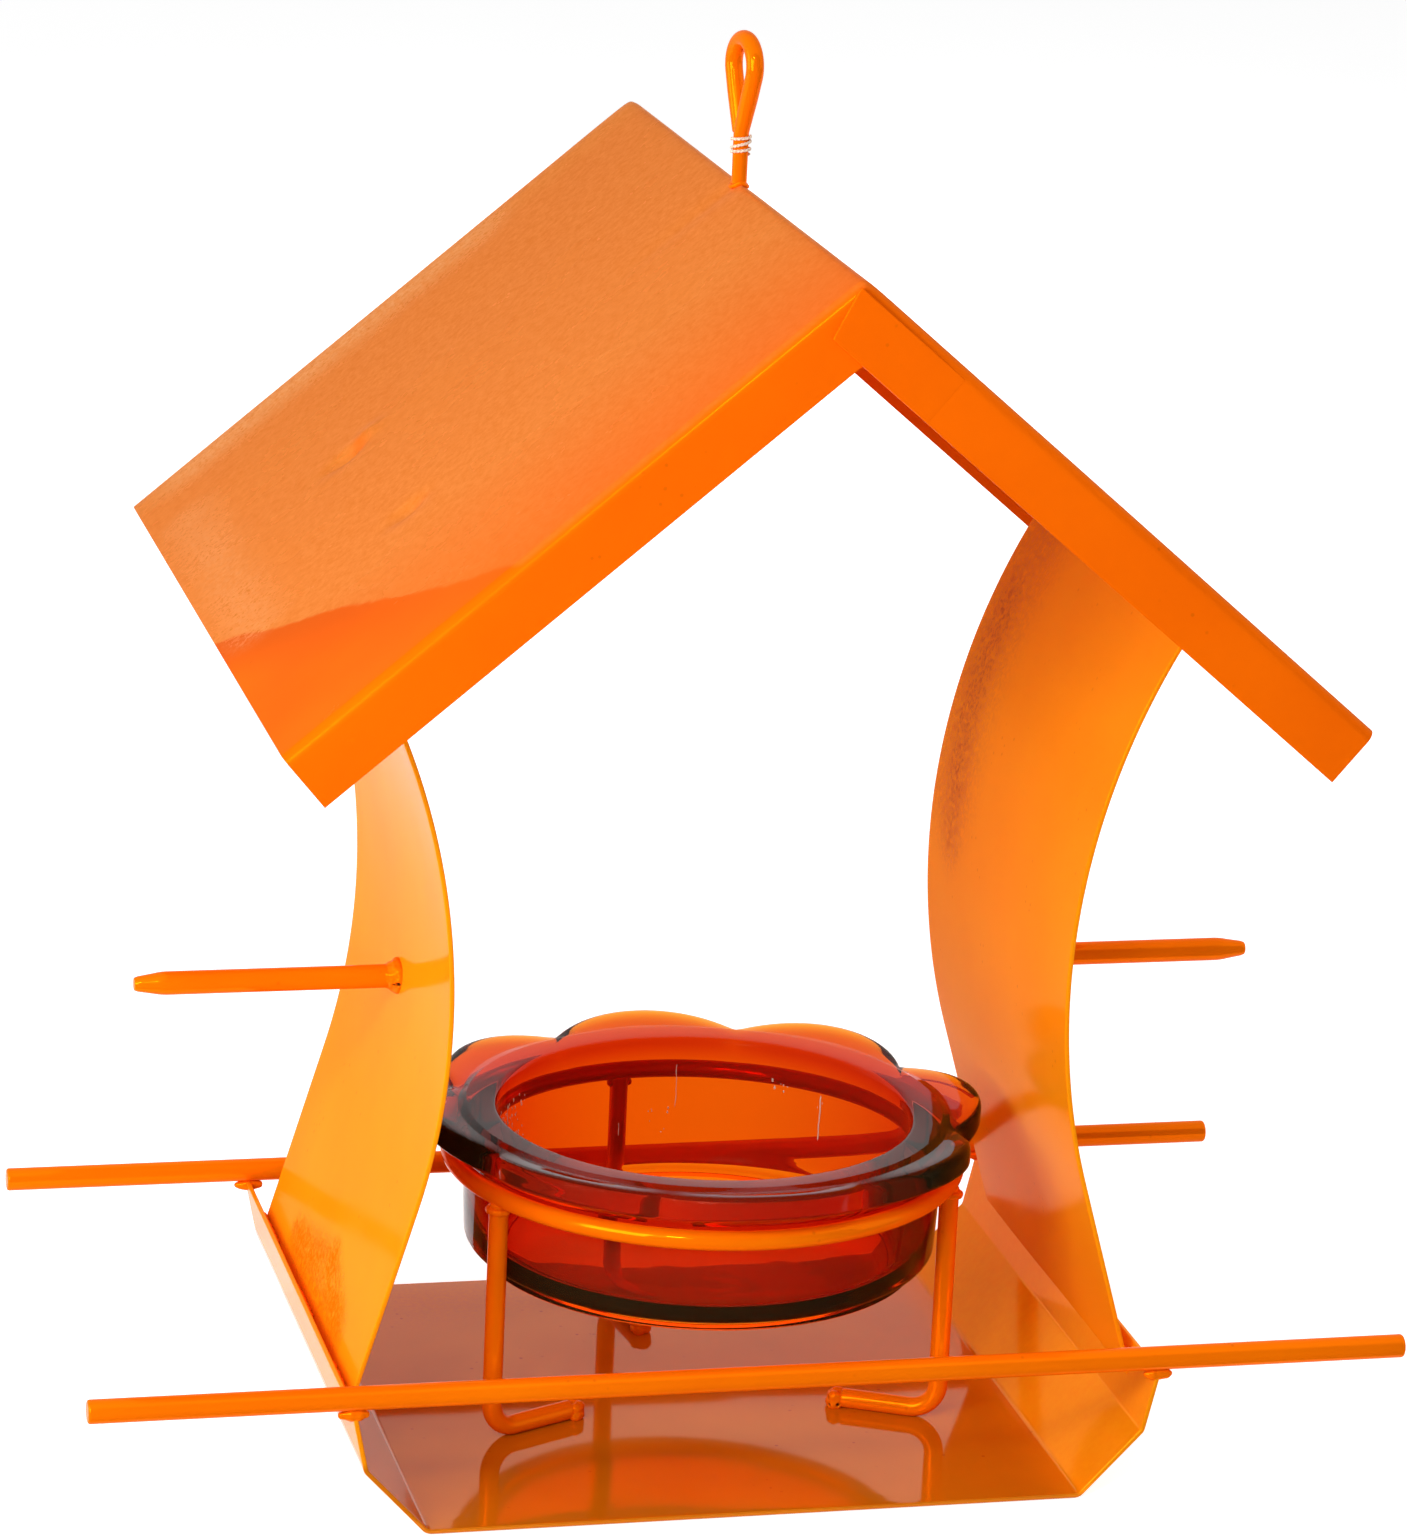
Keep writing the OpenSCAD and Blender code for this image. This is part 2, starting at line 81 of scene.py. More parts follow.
PAINTED_LIT_ORANGE: Colour = (1.0, 0.322, 0.004)
PAINTED_LIT_ORANGE_DEEP: Colour = (0.98, 0.284, 0.003)
WARM: Colour = (1.0, 0.195, 0.001)
WARM_DEEP: Colour = (0.96, 0.17, 0.001)


class Side(Enum):
    """The two sides of the feeder, as the sign of X."""

    LEFT = -1
    RIGHT = 1


class End(Enum):
    """The front and the rear of the feeder, as the sign of Y."""

    FRONT = -1
    REAR = 1


class Body(Enum):
    """Bodies of the frame."""

    FRAME = "frame"
    BOWL = "bowl"


class Slot(Enum):
    """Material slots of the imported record."""

    SHEET = "sheet_coat"
    WIRE = "wire_coat"
    WELD = "weld_coat"
    GLASS = "amber_glass"
    THREAD = "pale_thread"


class Kind(Enum):
    """Socket types of the node groups' inputs and outputs."""

    FLOAT = "NodeSocketFloat"
    INT = "NodeSocketInt"
    VECTOR = "NodeSocketVector"
    COLOUR = "NodeSocketColor"
    OBJECT = "NodeSocketObject"
    MATERIAL = "NodeSocketMaterial"
    GEOMETRY = "NodeSocketGeometry"


def box_mm(node: str) -> tuple[Vector, Vector]:
    """Lowest and highest corner of a frame node's box, in millimetres."""
    low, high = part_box(node)
    return Vector(low) / MM, Vector(high) / MM


def metres(place: Sequence[float]) -> list[float]:
    """A place given in millimetres, in metres."""
    return [c * MM for c in place]


def spread(first: float, last: float, steps: int) -> list[float]:
    """Evenly spaced values from first to last, both included."""
    return [first + (last - first) * k / steps for k in range(steps + 1)]


def clip(value: float) -> float:
    """A value held between 0 and 1."""
    return min(1.0, max(0.0, value))


def cos_sin(angle: float) -> tuple[float, float]:
    """Cosine and sine of an angle in degrees."""
    turn = math.radians(angle)
    return math.cos(turn), math.sin(turn)


def ripple(x: float, y: float, z: float) -> float:
    """Smooth noise, from about -1 to 1, at a place."""
    return noise.noise(Vector((x, y, z)))


def add_object(name: str, points: Sequence[Sequence[float]], faces: Sequence[Sequence[int]]) -> Object:
    """Adds a mesh object at the origin.

    Args:
        name: name of the object and its mesh.
        points: places of the vertices, in millimetres.
        faces: vertex numbers of each face.

    Returns:
        The new object, linked to the scene.
    """
    mesh = bpy.data.meshes.new(name)
    mesh.from_pydata([metres(p) for p in points], [], [list(f) for f in faces])
    mesh.update()
    obj = bpy.data.objects.new(name, mesh)
    bpy.context.scene.collection.objects.link(obj)
    return obj


def settle(obj: Object) -> None:
    """Turns an object's evaluated form into its own plain mesh and drops its modifiers.

    Args:
        obj: mesh object whose modifiers are to be kept as mesh.
    """
    bpy.context.view_layer.update()
    graph = bpy.context.evaluated_depsgraph_get()
    shown = obj.evaluated_get(graph)
    mesh = bpy.data.meshes.new_from_object(shown, preserve_all_data_layers=True, depsgraph=graph)
    obj.modifiers.clear()
    mesh.name = obj.name
    obj.data = mesh


def outward(obj: Object, merge: float = 0.0) -> None:
    """Merges a mesh's doubles and turns its faces outwards.

    Args:
        obj: closed mesh object.
        merge: distance within which vertices are merged, in millimetres.
    """
    bm = bmesh.new()
    bm.from_mesh(obj.data)
    if merge:
        bmesh.ops.remove_doubles(bm, verts=bm.verts, dist=merge * MM)
    bmesh.ops.recalc_face_normals(bm, faces=bm.faces)
    bm.to_mesh(obj.data)
    bm.free()


def mark(obj: Object, name: str, values: Iterable[float]) -> None:
    """Stores one value for each vertex as an attribute of the mesh."""
    made = obj.data.attributes.new(name, "FLOAT", "POINT")
    made.data.foreach_set("value", list(values))


class Tree:
    """A node tree that is wired step by step."""

    def __init__(self, group: bpy.types.NodeTree) -> None:
        """Takes hold of a node tree."""
        self.group = group

    def wire(self, source: object, target: Socket) -> None:
        """Feeds a socket from another socket, or sets it to a value.

        Args:
            source: socket or value, or None to leave the target alone.
            target: socket to feed.
        """
        if isinstance(source, Socket):
            self.group.links.new(source, target)
        elif source is not None:
            target.default_value = source

    def node(self, kind: str, feeds: dict[object, object] | None = None,
             **settings: object) -> bpy.types.Node:
        """Adds a node.

        Args:
            kind: node type.
            feeds: socket name or number to the socket or value that feeds it.
            settings: properties of the node.

        Returns:
            The new node.
        """
        made = self.group.nodes.new(kind)
        for label, value in settings.items():
            setattr(made, label, value)
        for label, source in (feeds or {}).items():
            self.wire(source, made.inputs[label])
        return made

    def maths(self, operation: str, *values: object, clamp: bool = False) -> Socket:
        """Result of a Math node."""
        feeds = dict(enumerate(values))
        return self.node("ShaderNodeMath", feeds, operation=operation, use_clamp=clamp).outputs[0]

    def plus(self, first: object, second: object, clamp: bool = False) -> Socket:
        """Sum of two values."""
        return self.maths("ADD", first, second, clamp=clamp)

    def minus(self, first: object, second: object) -> Socket:
        """Difference of two values."""
        return self.maths("SUBTRACT", first, second)

    def times(self, first: object, second: object, clamp: bool = False) -> Socket:
        """Product of two values."""
        return self.maths("MULTIPLY", first, second, clamp=clamp)

    def over(self, first: object, second: object, clamp: bool = False) -> Socket:
        """Quotient of two values."""
        return self.maths("DIVIDE", first, second, clamp=clamp)

    def vector(self, operation: str, first: object, second: object) -> Socket:
        """Result of a Vector Math node.

        Args:
            operation: the node's operation.
            first: first vector.
            second: second vector, or the factor of a scaling.

        Returns:
            Socket of a vector, or of a value for a product or a distance.
        """
        feeds = {0: first, "Scale" if operation == "SCALE" else 1: second}
        made = self.node("ShaderNodeVectorMath", feeds, operation=operation)
        return made.outputs["Value" if operation in ("DOT_PRODUCT", "DISTANCE") else "Vector"]

    def noise(self, where: Socket, scale: object, detail: float = 2.0, roughness: float = 0.5) -> Socket:
        """Value of a noise texture at a place."""
        feeds = {"Vector": where, "Scale": scale, "Detail": detail, "Roughness": roughness}
        return self.node("ShaderNodeTexNoise", feeds).outputs[0]

    def ramp(self, value: Socket, low: float, high: float, first: object = 0.0, last: object = 1.0,
             smooth: bool = False) -> Socket:
        """Maps a value's range onto another one and holds it there.

        Args:
            value: socket of the value.
            low: value that becomes the first result.
            high: value that becomes the last result.
            first: result at the low value.
            last: result at the high value.
            smooth: whether the result eases in and out.

        Returns:
            Socket of the result.
        """
        feeds = {0: value, 1: low, 2: high, 3: first, 4: last}
        easing = "SMOOTHSTEP" if smooth else "LINEAR"
        return self.node("ShaderNodeMapRange", feeds, interpolation_type=easing).outputs[0]

    def mix(self, share: Socket, first: object, second: object) -> Socket:
        """Mixture of two colours, each a socket or three numbers."""
        pair = [c if isinstance(c, Socket) else (*c, 1) for c in (first, second)]
        return self.node("ShaderNodeMix", {0: share, 6: pair[0], 7: pair[1]}, data_type="RGBA").outputs[2]


class Group(Tree):
    """A new node group with named inputs and outputs."""

    def __init__(self, name: str, kind: str = "ShaderNodeTree") -> None:
        """Starts an empty group.

        Args:
            name: name of the group.
            kind: type of its node tree.
        """
        super().__init__(bpy.data.node_groups.new(name, kind))
        self.start = self.group.nodes.new("NodeGroupInput")
        self.end = self.group.nodes.new("NodeGroupOutput")
        self.keys: dict[str, str] = {}

    def takes(self, name: str, kind: Kind, value: object = None) -> Socket:
        """Adds a named input.

        Args:
            name: label of the input.
            kind: socket type.
            value: default value, where the type has one.

        Returns:
            The socket that gives the input inside the group.
        """
        item = self.group.interface.new_socket(name, in_out="INPUT", socket_type=kind.value)
        if value is not None:
            item.default_value = value
        self.keys[name] = item.identifier
        return self.start.outputs[name]

    def gives(self, name: str, kind: Kind, source: Socket) -> None:
        """Adds a named output fed by a socket."""
        self.group.interface.new_socket(name, in_out="OUTPUT", socket_type=kind.value)
        self.wire(source, self.end.inputs[name])


class WiredMaterial(Tree):
    """A material's own node tree around its Principled shader."""

    def __init__(self, name: str) -> None:
        """Starts a material that reads Object coordinates.

        Args:
            name: name of the material.
        """
        self.material = bpy.data.materials.new(name)
        self.material.use_nodes = True
        super().__init__(self.material.node_tree)
        self.shader = self.group.nodes["Principled BSDF"]
        self.output = self.group.nodes["Material Output"]
        self.coords = self.node("ShaderNodeTexCoord").outputs["Object"]

    def effect(self, group: Group, **feeds: object) -> dict[str, Socket]:
        """Places a shared effect in the material.

        Args:
            group: shader node group of the effect.
            feeds: input name, with spaces written as underscores, to its value or socket.

        Returns:
            The effect's outputs by name.
        """
        made = self.node("ShaderNodeGroup", node_tree=group.group)
        self.wire(self.coords, made.inputs["Vector"])
        for label, value in feeds.items():
            self.wire(value, made.inputs[label.replace("_", " ")])
        return {s.name: s for s in made.outputs}

    def feed(self, **inputs: object) -> None:
        """Feeds or sets the shader's inputs, with spaces in their names written as underscores."""
        for label, value in inputs.items():
            self.wire(value, self.shader.inputs[label.replace("_", " ")])

    def relief(self, height: Socket, depth: float) -> None:
        """Feeds the shader's normal from a height that spans a depth in millimetres."""
        bump = self.node("ShaderNodeBump", {"Height": height, "Distance": depth * MM, "Strength": 1.0})
        self.feed(Normal=bump.outputs[0])

    def attribute(self, name: str) -> Socket:
        """Value of an attribute of the mesh."""
        return self.node("ShaderNodeAttribute", attribute_name=name).outputs["Fac"]


class CoatEffects:
    """Shader groups that the painted surfaces share."""

    drift_scale: float = 26.0
    drift_band: Band = (0.3, 0.7)
    nib_scale: float = 340.0
    nib_band: Band = (0.09, 0.16)
    patch_scale: float = 75.0
    patch_band: Band = (0.6, 0.72)
    haze_scale: float = 38.0
    haze_band: Band = (0.38, 0.68)
    streak_grain_scale: float = 900.0
    streak_grain_band: Band = (0.36, 0.64)
    waver_scale: float = 34.0
    cloud_scale: float = 520.0
    cloud_band: Band = (0.34, 0.66)
    border_band: Band = (-0.02, 0.0)

    def __init__(self) -> None:
        """Builds the five groups once."""
        self.peel = self.orange_peel()
        self.tone = self.paint_tone()
        self.gloss = self.rubbed_gloss()
        self.streak = self.grime_streak()
        self.film = self.chalk_film()

    @staticmethod
    def orange_peel() -> Group:
        """Fine rolling texture of a sprayed and baked coat.

        Returns:
            Group that gives a height.
        """
        group = Group("orange_peel")
        where = group.takes("Vector", Kind.VECTOR)
        fine = group.takes("Fine Scale", Kind.FLOAT, 900.0)
        broad = group.takes("Broad Scale", Kind.FLOAT, 120.0)
        share = group.takes("Broad Share", Kind.FLOAT, 0.5)
        rolled = group.times(group.noise(where, broad, detail=1.0), share)
        group.gives("Height", Kind.FLOAT, group.plus(group.noise(where, fine, detail=1.5), rolled))
        return group

    def paint_tone(self) -> Group:
        """Slow drift of the paint's colour, with sparse dust nibs.

        Returns:
            Group that gives a colour.
        """
        group = Group("paint_tone")
        where = group.takes("Vector", Kind.VECTOR)
        light = group.takes("Light Tone", Kind.COLOUR, (1, 0.3, 0, 1))
        deep = group.takes("Deep Tone", Kind.COLOUR, (0.8, 0.1, 0, 1))
        nib = group.takes("Nib Tone", Kind.COLOUR, (0.3, 0.06, 0, 1))
        amount = group.takes("Nibs", Kind.FLOAT, 0.5)
        drift = group.ramp(group.noise(where, self.drift_scale, detail=3.0), *self.drift_band)
        spots = {"Vector": where, "Scale": self.nib_scale, "Randomness": 1.0}
        dots = group.node("ShaderNodeTexVoronoi", spots).outputs["Distance"]
        near = group.ramp(dots, *self.nib_band, 1.0, 0.0)
        few = group.ramp(group.noise(where, self.patch_scale, detail=0.0), *self.patch_band)
        mask = group.times(group.times(near, few), amount, clamp=True)
        group.gives("Colour", Kind.COLOUR, group.mix(mask, group.mix(drift, deep, light), nib))
        return group

    def rubbed_gloss(self) -> Group:
        """Uneven gloss from handling and wear outdoors.

        Returns:
            Group that gives a roughness.
        """
        group = Group("rubbed_gloss")
        where = group.takes("Vector", Kind.VECTOR)
        shiny = group.takes("Shiny", Kind.FLOAT, 0.1)
        dull = group.takes("Dull", Kind.FLOAT, 0.25)
        haze = group.noise(where, self.haze_scale, detail=5.0, roughness=0.6)
        group.gives("Roughness", Kind.FLOAT, group.ramp(haze, *self.haze_band, shiny, dull))
        return group

    def grime_streak(self) -> Group:
        """A soft, grainy streak along a line.

        Returns:
            Group that gives a mask.
        """
        group = Group("grime_streak")
        where = group.takes("Vector", Kind.VECTOR)
        start = group.takes("Start", Kind.VECTOR, (0, 0, 0))
        stop = group.takes("Stop", Kind.VECTOR, (0, 0, 0.1))
        width = group.takes("Width", Kind.FLOAT, 0.008)
        along = group.vector("SUBTRACT", stop, start)
        off = group.vector("SUBTRACT", where, start)
        lengths = [group.vector("DOT_PRODUCT", side, along) for side in (off, along)]
        foot = group.vector("SCALE", along, group.over(*lengths, clamp=True))
        away = group.over(group.vector("DISTANCE", off, foot), width)
        near = group.ramp(away, 0.0, 1.0, 1.0, 0.0, smooth=True)
        speckle = group.noise(where, self.streak_grain_scale, detail=4.0, roughness=0.75)
        grain = group.ramp(speckle, *self.streak_grain_band)
        group.gives("Mask", Kind.FLOAT, group.times(near, grain, clamp=True))
        return group

    def chalk_film(self) -> Group:
        """A pale cover of painted light that stops at a wavering line.

        Returns:
            Group that gives the film's mask, its grain and a mask along its border.
        """
        group = Group("chalk_film")
        where = group.takes("Vector", Kind.VECTOR)
        through = group.takes("Through", Kind.VECTOR, (0, 0, 0))
        across = group.takes("Across", Kind.VECTOR, (0, 1, 0))
        soft = group.takes("Soft", Kind.FLOAT, 0.002)
        waver = group.takes("Waver", Kind.FLOAT, 0.006)
        past = group.vector("DOT_PRODUCT", group.vector("SUBTRACT", where, through), across)
        bend = group.minus(group.noise(where, self.waver_scale, detail=5.0, roughness=0.6), 0.5)
        level = group.over(group.plus(past, group.times(bend, waver)), soft)
        cloud = group.noise(where, self.cloud_scale, detail=4.0, roughness=0.75)
        group.gives("Mask", Kind.FLOAT, group.ramp(level, -0.5, 0.5, smooth=True))
        group.gives("Grain", Kind.FLOAT, group.ramp(cloud, *self.cloud_band))
        group.gives("Border", Kind.FLOAT, group.ramp(past, *self.border_band, smooth=True))
        return group


@dataclass(frozen=True)
class Streak:
    """A streak on a painted surface, in millimetres: dirt on the right panel, a painted reflection on the
    roof and the left panel, a darker patch on the tray's floor.
    """

    start: Point
    stop: Point
    width: float
    strength: float
    by_mark: bool = False

    def mask(self, wired: WiredMaterial, effects: CoatEffects) -> Socket:
        """Wires the streak into a material.

        Args:
            wired: the material.
            effects: shader groups shared by the coats.

        Returns:
            Socket of the streak's mask.
        """
        made = wired.effect(effects.streak, Start=metres(self.start), Stop=metres(self.stop),
                            Width=self.width * MM)
        mask = wired.times(made["Mask"], self.strength, clamp=True)
        return wired.times(mask, wired.attribute(MARK_SHARE)) if self.by_mark else mask


@dataclass(frozen=True)
class PaintedLightFilm:
    """Painted light: a paler cover on one side of a line, the coat's own colour on the other, with a painted
    darker reflection along the line's clean side.
    """

    through: Point
    across: Point
    # tones of the painted sheen
    tone: Colour = (0.86, 0.28, 0.056)
    deep: Colour = (0.75, 0.215, 0.03)
    # painted darker reflection along the clean side of the line
    border: Colour = (0.6, 0.085, 0.002)
    soft: float = 1.6
    waver: float = 9.0
    strength: float = 0.95
    shade: float = 0.7
    dulling: float = 0.05
    lacquer: float = 0.2
    by_mark: bool = True

    def lay(self, wired: WiredMaterial, effects: CoatEffects, colour: Socket,
            gloss: Socket) -> tuple[Socket, ...]:
        """Lays the painted light over a coat.

        Args:
            wired: the coat's material.
            effects: shader groups shared by the coats.
            colour: colour of the coat.
            gloss: roughness of the coat.

        Returns:
            Sockets of the new colour, the new roughness and the film's mask.
        """
        made = wired.effect(effects.film, Through=metres(self.through), Across=self.across,
                            Soft=self.soft * MM, Waver=self.waver * MM)
        cover, shade = made["Mask"], made["Border"]
        if self.by_mark:
            # the roof's share of the painted sheen, stored on its mesh
            sheen_share = wired.attribute(MARK_SHARE)
            cover, shade = wired.times(cover, sheen_share), wired.times(shade, sheen_share)
        cover = wired.times(cover, self.strength, clamp=True)
        shaded = wired.mix(wired.times(shade, self.shade, clamp=True), colour, self.border)
        covered = wired.mix(cover, shaded, wired.mix(made["Grain"], self.deep, self.tone))
        return covered, wired.plus(gloss, wired.times(cover, self.dulling)), cover


@dataclass(frozen=True)
class CoatFinish:
    """Glossy orange coat over metal."""

    name: str
    light: Colour = (0.96, 0.165, 0.001)
    deep: Colour = (0.9, 0.14, 0.001)
    nib: Colour = (0.45, 0.07, 0.002)
    nibs: float = 0.3
    shiny: float = 0.1
    dull: float = 0.2
    metal: float = 0.22
    edge_tint: Colour = (1.0, 0.42, 0.1)
    ior: float = 1.085
    lacquer_ior: float = 1.0
    peel_depth: float = 0.006
    broad_share: float = 0.6
    # tone of the streaks: dirt on some coats, a painted reflection on others
    grime_and_reflection: Colour = (0.5, 0.1, 0.03)
    streak_dulling: float = 0.35
    streaks: tuple[Streak, ...] = ()
    film: PaintedLightFilm | None = None
    pitted: bool = False
    # painted shade: near black inside the shallow pinhole dents
    painted_pit_shade: Colour = (0.012, 0.006, 0.004)

    def material(self, effects: CoatEffects) -> Material:
        """Builds the coat's material.

        Args:
            effects: shader groups shared by the coats.

        Returns:
            The new material.
        """
        wired = WiredMaterial(self.name)
        colour = wired.effect(effects.tone, Light_Tone=(*self.light, 1), Deep_Tone=(*self.deep, 1),
                              Nib_Tone=(*self.nib, 1), Nibs=self.nibs)["Colour"]
        gloss = wired.effect(effects.gloss, Shiny=self.shiny, Dull=self.dull)["Roughness"]
        if self.film:
            colour, gloss, cover = self.film.lay(wired, effects, colour, gloss)
            if self.lacquer_ior > 1.0:
                wired.feed(Coat_Weight=wired.ramp(cover, 0.0, 1.0, 1.0, self.film.lacquer),
                           Coat_IOR=self.lacquer_ior, Coat_Roughness=self.shiny)
        # streaks in their tone: dirt on some coats, painted reflections on others
        for streak in self.streaks:
            mask = streak.mask(wired, effects)
            colour = wired.mix(mask, colour, self.grime_and_reflection)
            gloss = wired.plus(gloss, wired.times(mask, self.streak_dulling))
        # painted shade darkens the pinholes beyond what their dents cast
        if self.pitted:
            colour = wired.mix(wired.attribute(PIT), colour, self.painted_pit_shade)
        wired.feed(Base_Color=colour, Roughness=gloss, IOR=self.ior, Metallic=self.metal,
                   Specular_Tint=(*self.edge_tint, 1))
        wired.relief(wired.effect(effects.peel, Broad_Share=self.broad_share)["Height"], self.peel_depth)
        return wired.material


@dataclass(frozen=True)
class GlassFinish:
    """Pressed amber glass, darker where it is thick."""

    name: str = "amber_pressed_glass"
    tint: Colour = (0.96, 0.62, 0.2)
    paler: float = 1.06
    sheen: Colour = (1.0, 0.5, 0.36)
    body: Colour = (0.942, 0.7, 0.0)
    density: float = 900.0
    clear: float = 0.985
    ior: float = 1.155
    rough: Band = (0.01, 0.09)
    haze_scale: float = 60.0
    haze_band: Band = (0.45, 0.8)
    tone_scale: float = 24.0
    tone_band: Band = (0.3, 0.7)
    ripple_scale: float = 95.0
    ripple_depth: float = 0.06

    def material(self) -> Material:
        """Builds the glass material.

        Returns:
            The new material.
        """
        wired = WiredMaterial(self.name)
        haze = wired.noise(wired.coords, self.haze_scale, detail=4.0)
        tone = wired.ramp(wired.noise(wired.coords, self.tone_scale), *self.tone_band)
        paler = tuple(min(1.0, c * self.paler) for c in self.tint)
        wired.feed(Base_Color=wired.mix(tone, self.tint, paler),
                   Roughness=wired.ramp(haze, *self.haze_band, *self.rough),
                   Transmission_Weight=self.clear, IOR=self.ior, Specular_Tint=(*self.sheen, 1))
        wired.relief(wired.noise(wired.coords, self.ripple_scale, detail=1.0), self.ripple_depth)
        soak = wired.node("ShaderNodeVolumeAbsorption", {"Color": (*self.body, 1), "Density": self.density})
        wired.wire(soak.outputs[0], wired.output.inputs["Volume"])
        return wired.material


@dataclass(frozen=True)
class MatteFinish:
    """A dull finish whose one grain sets its colour, roughness and relief."""

    name: str
    pale: Colour
    shaded: Colour
    grain: float
    tone_band: Band
    rough_band: Band
    rough: Band
    depth: float

    def material(self) -> Material:
        """Builds the material.

        Returns:
            The new material.
        """
        wired = WiredMaterial(self.name)
        grain = wired.noise(wired.coords, self.grain, detail=3.0)
        wired.feed(Base_Color=wired.mix(wired.ramp(grain, *self.tone_band), self.shaded, self.pale),
                   Roughness=wired.ramp(grain, *self.rough_band, *self.rough))
        wired.relief(grain, self.depth)
        return wired.material


class Finishes:
    """Every material of the feeder, built once."""

    wedge_down: float = 114.0
    wedge_y: float = -59.0
    wedge_rise: float = 0.817
    wedge_run: float = 0.576

    def __init__(self) -> None:
        """Builds the materials."""
        effects = CoatEffects()
        self.roof = self.roof_coat().material(effects)
        self.panels = {side: self.panel_coat(side).material(effects) for side in Side}
        self.tray = self.tray_coat().material(effects)
        self.wire = CoatFinish("wire_coat", WARM, WARM_DEEP, shiny=0.06, dull=0.15, ior=1.11,
                               peel_depth=0.01).material(effects)
        self.weld = CoatFinish("weld_coat", WARM, WARM_DEEP, dull=0.24, peel_depth=0.02,
                               pitted=True).material(effects)
        self.glass = GlassFinish().material()
        self.thread = MatteFinish("pale_cotton_thread", (0.93, 0.77, 0.62), (0.68, 0.5, 0.36), grain=2600.0,
                                  tone_band=(0.32, 0.62), rough_band=(0.2, 0.8), rough=(0.7, 0.95),
                                  depth=0.06).material()
        self.dried = MatteFinish("dried_sugar", (0.9, 0.82, 0.7), (0.75, 0.55, 0.36), grain=900.0,
                                 tone_band=(0.0, 1.0), rough_band=(0.3, 0.7), rough=(0.25, 0.6),
                                 depth=0.03).material()

    def roof_coat(self) -> CoatFinish:
        """The roof's coat under a pale painted sheen, a painted reflection of a bright sky, which leaves a
        deeper orange wedge at the front eave.

        Returns:
            The finish.
        """
        level, rise = cos_sin(PITCH)
        corner = (-self.wedge_down * level, self.wedge_y, RIDGE_Z - self.wedge_down * rise)
        across = Vector((self.wedge_rise * level, self.wedge_run, self.wedge_rise * rise)).normalized()
        # painted reflections: pale bands along the rear edge and along the eave of the left slope
        bands = (Streak((-98.0, 94.0, 185.7), (-36.0, 94.0, 237.8), 15.0, 1.0, True),
                 Streak((-102.5, 64.0, 182.0), (-102.5, -26.0, 182.0), 12.0, 0.6, True))
        return CoatFinish("roof_coat", (0.96, 0.148, 0.001), (0.9, 0.126, 0.001), shiny=0.16, dull=0.28,
                          metal=0.12, ior=1.03, edge_tint=(1.0, 0.36, 0.02), peel_depth=0.012,
                          grime_and_reflection=(0.88, 0.37, 0.14), streaks=bands, film=PaintedLightFilm(corner, tuple(across)))

    @staticmethod
    def panel_coat(side: Side) -> CoatFinish:
        """A panel's coat in the painted lit orange, with its own marks: a painted reflection on the left
        panel, dirt on the right.

        Args:
            side: side of the feeder.

        Returns:
            The finish.
        """
        if side is Side.LEFT:
            # painted reflection: the tray's shaded flange mirrored as a darker patch low on the left panel's
            # outer face
            grime_and_reflection = (0.93, 0.16, 0.001)
            marks = (Streak((-81.8, 26.0, 31.0), (-79.9, -8.0, 37.5), 6.5, 1.5, True),
                     Streak((-79.9, -8.0, 37.5), (-82.1, -29.0, 30.0), 7.5, 1.5, True),
                     Streak((-82.0, 20.0, 30.0), (-82.0, -24.0, 30.5), 7.5, 1.5, True))
        else:
            # real dirt streaks on the right panel's inner face
            grime_and_reflection = CoatFinish.grime_and_reflection
            marks = (Streak((88.0, 42.0, 188.0), (66.0, 40.0, 128.0), 26.0, 0.7, True),
                     Streak((76.0, 43.0, 166.0), (64.7, 37.0, 114.0), 12.0, 0.7, True))
        return CoatFinish(f"{side.name.lower()}_panel_coat", PAINTED_LIT_ORANGE, PAINTED_LIT_ORANGE_DEEP, metal=0.14, ior=1.032,
                          grime_and_reflection=grime_and_reflection, streaks=marks)

    @staticmethod
    def tray_coat() -> CoatFinish:
        """The tray's lacquered floor, with its raised sides painted in the panels' brighter tone as painted
        light.

        Returns:
            The finish.
        """
        # painted light: the facets and flanges take the panels' lit orange
        painted_lit_sides = PaintedLightFilm((0.0, 0.0, 7.8), (0.097, 0.0, 0.995), PAINTED_LIT_ORANGE, PAINTED_LIT_ORANGE_DEEP, soft=2.2, waver=0.0,
                           strength=1.0, shade=0.0, dulling=0.0, by_mark=False)
        # a darker patch across the rear left of the floor
        return CoatFinish("tray_coat", (0.7, 0.2, 0.003), (0.64, 0.168, 0.002), nibs=1.0, shiny=0.05,
                          dull=0.12, ior=1.038, lacquer_ior=1.205, film=painted_lit_sides,
                          streaks=(Streak((-60.0, 58.0, 1.0), (-10.0, 60.0, 1.0), 26.0, 0.4),))


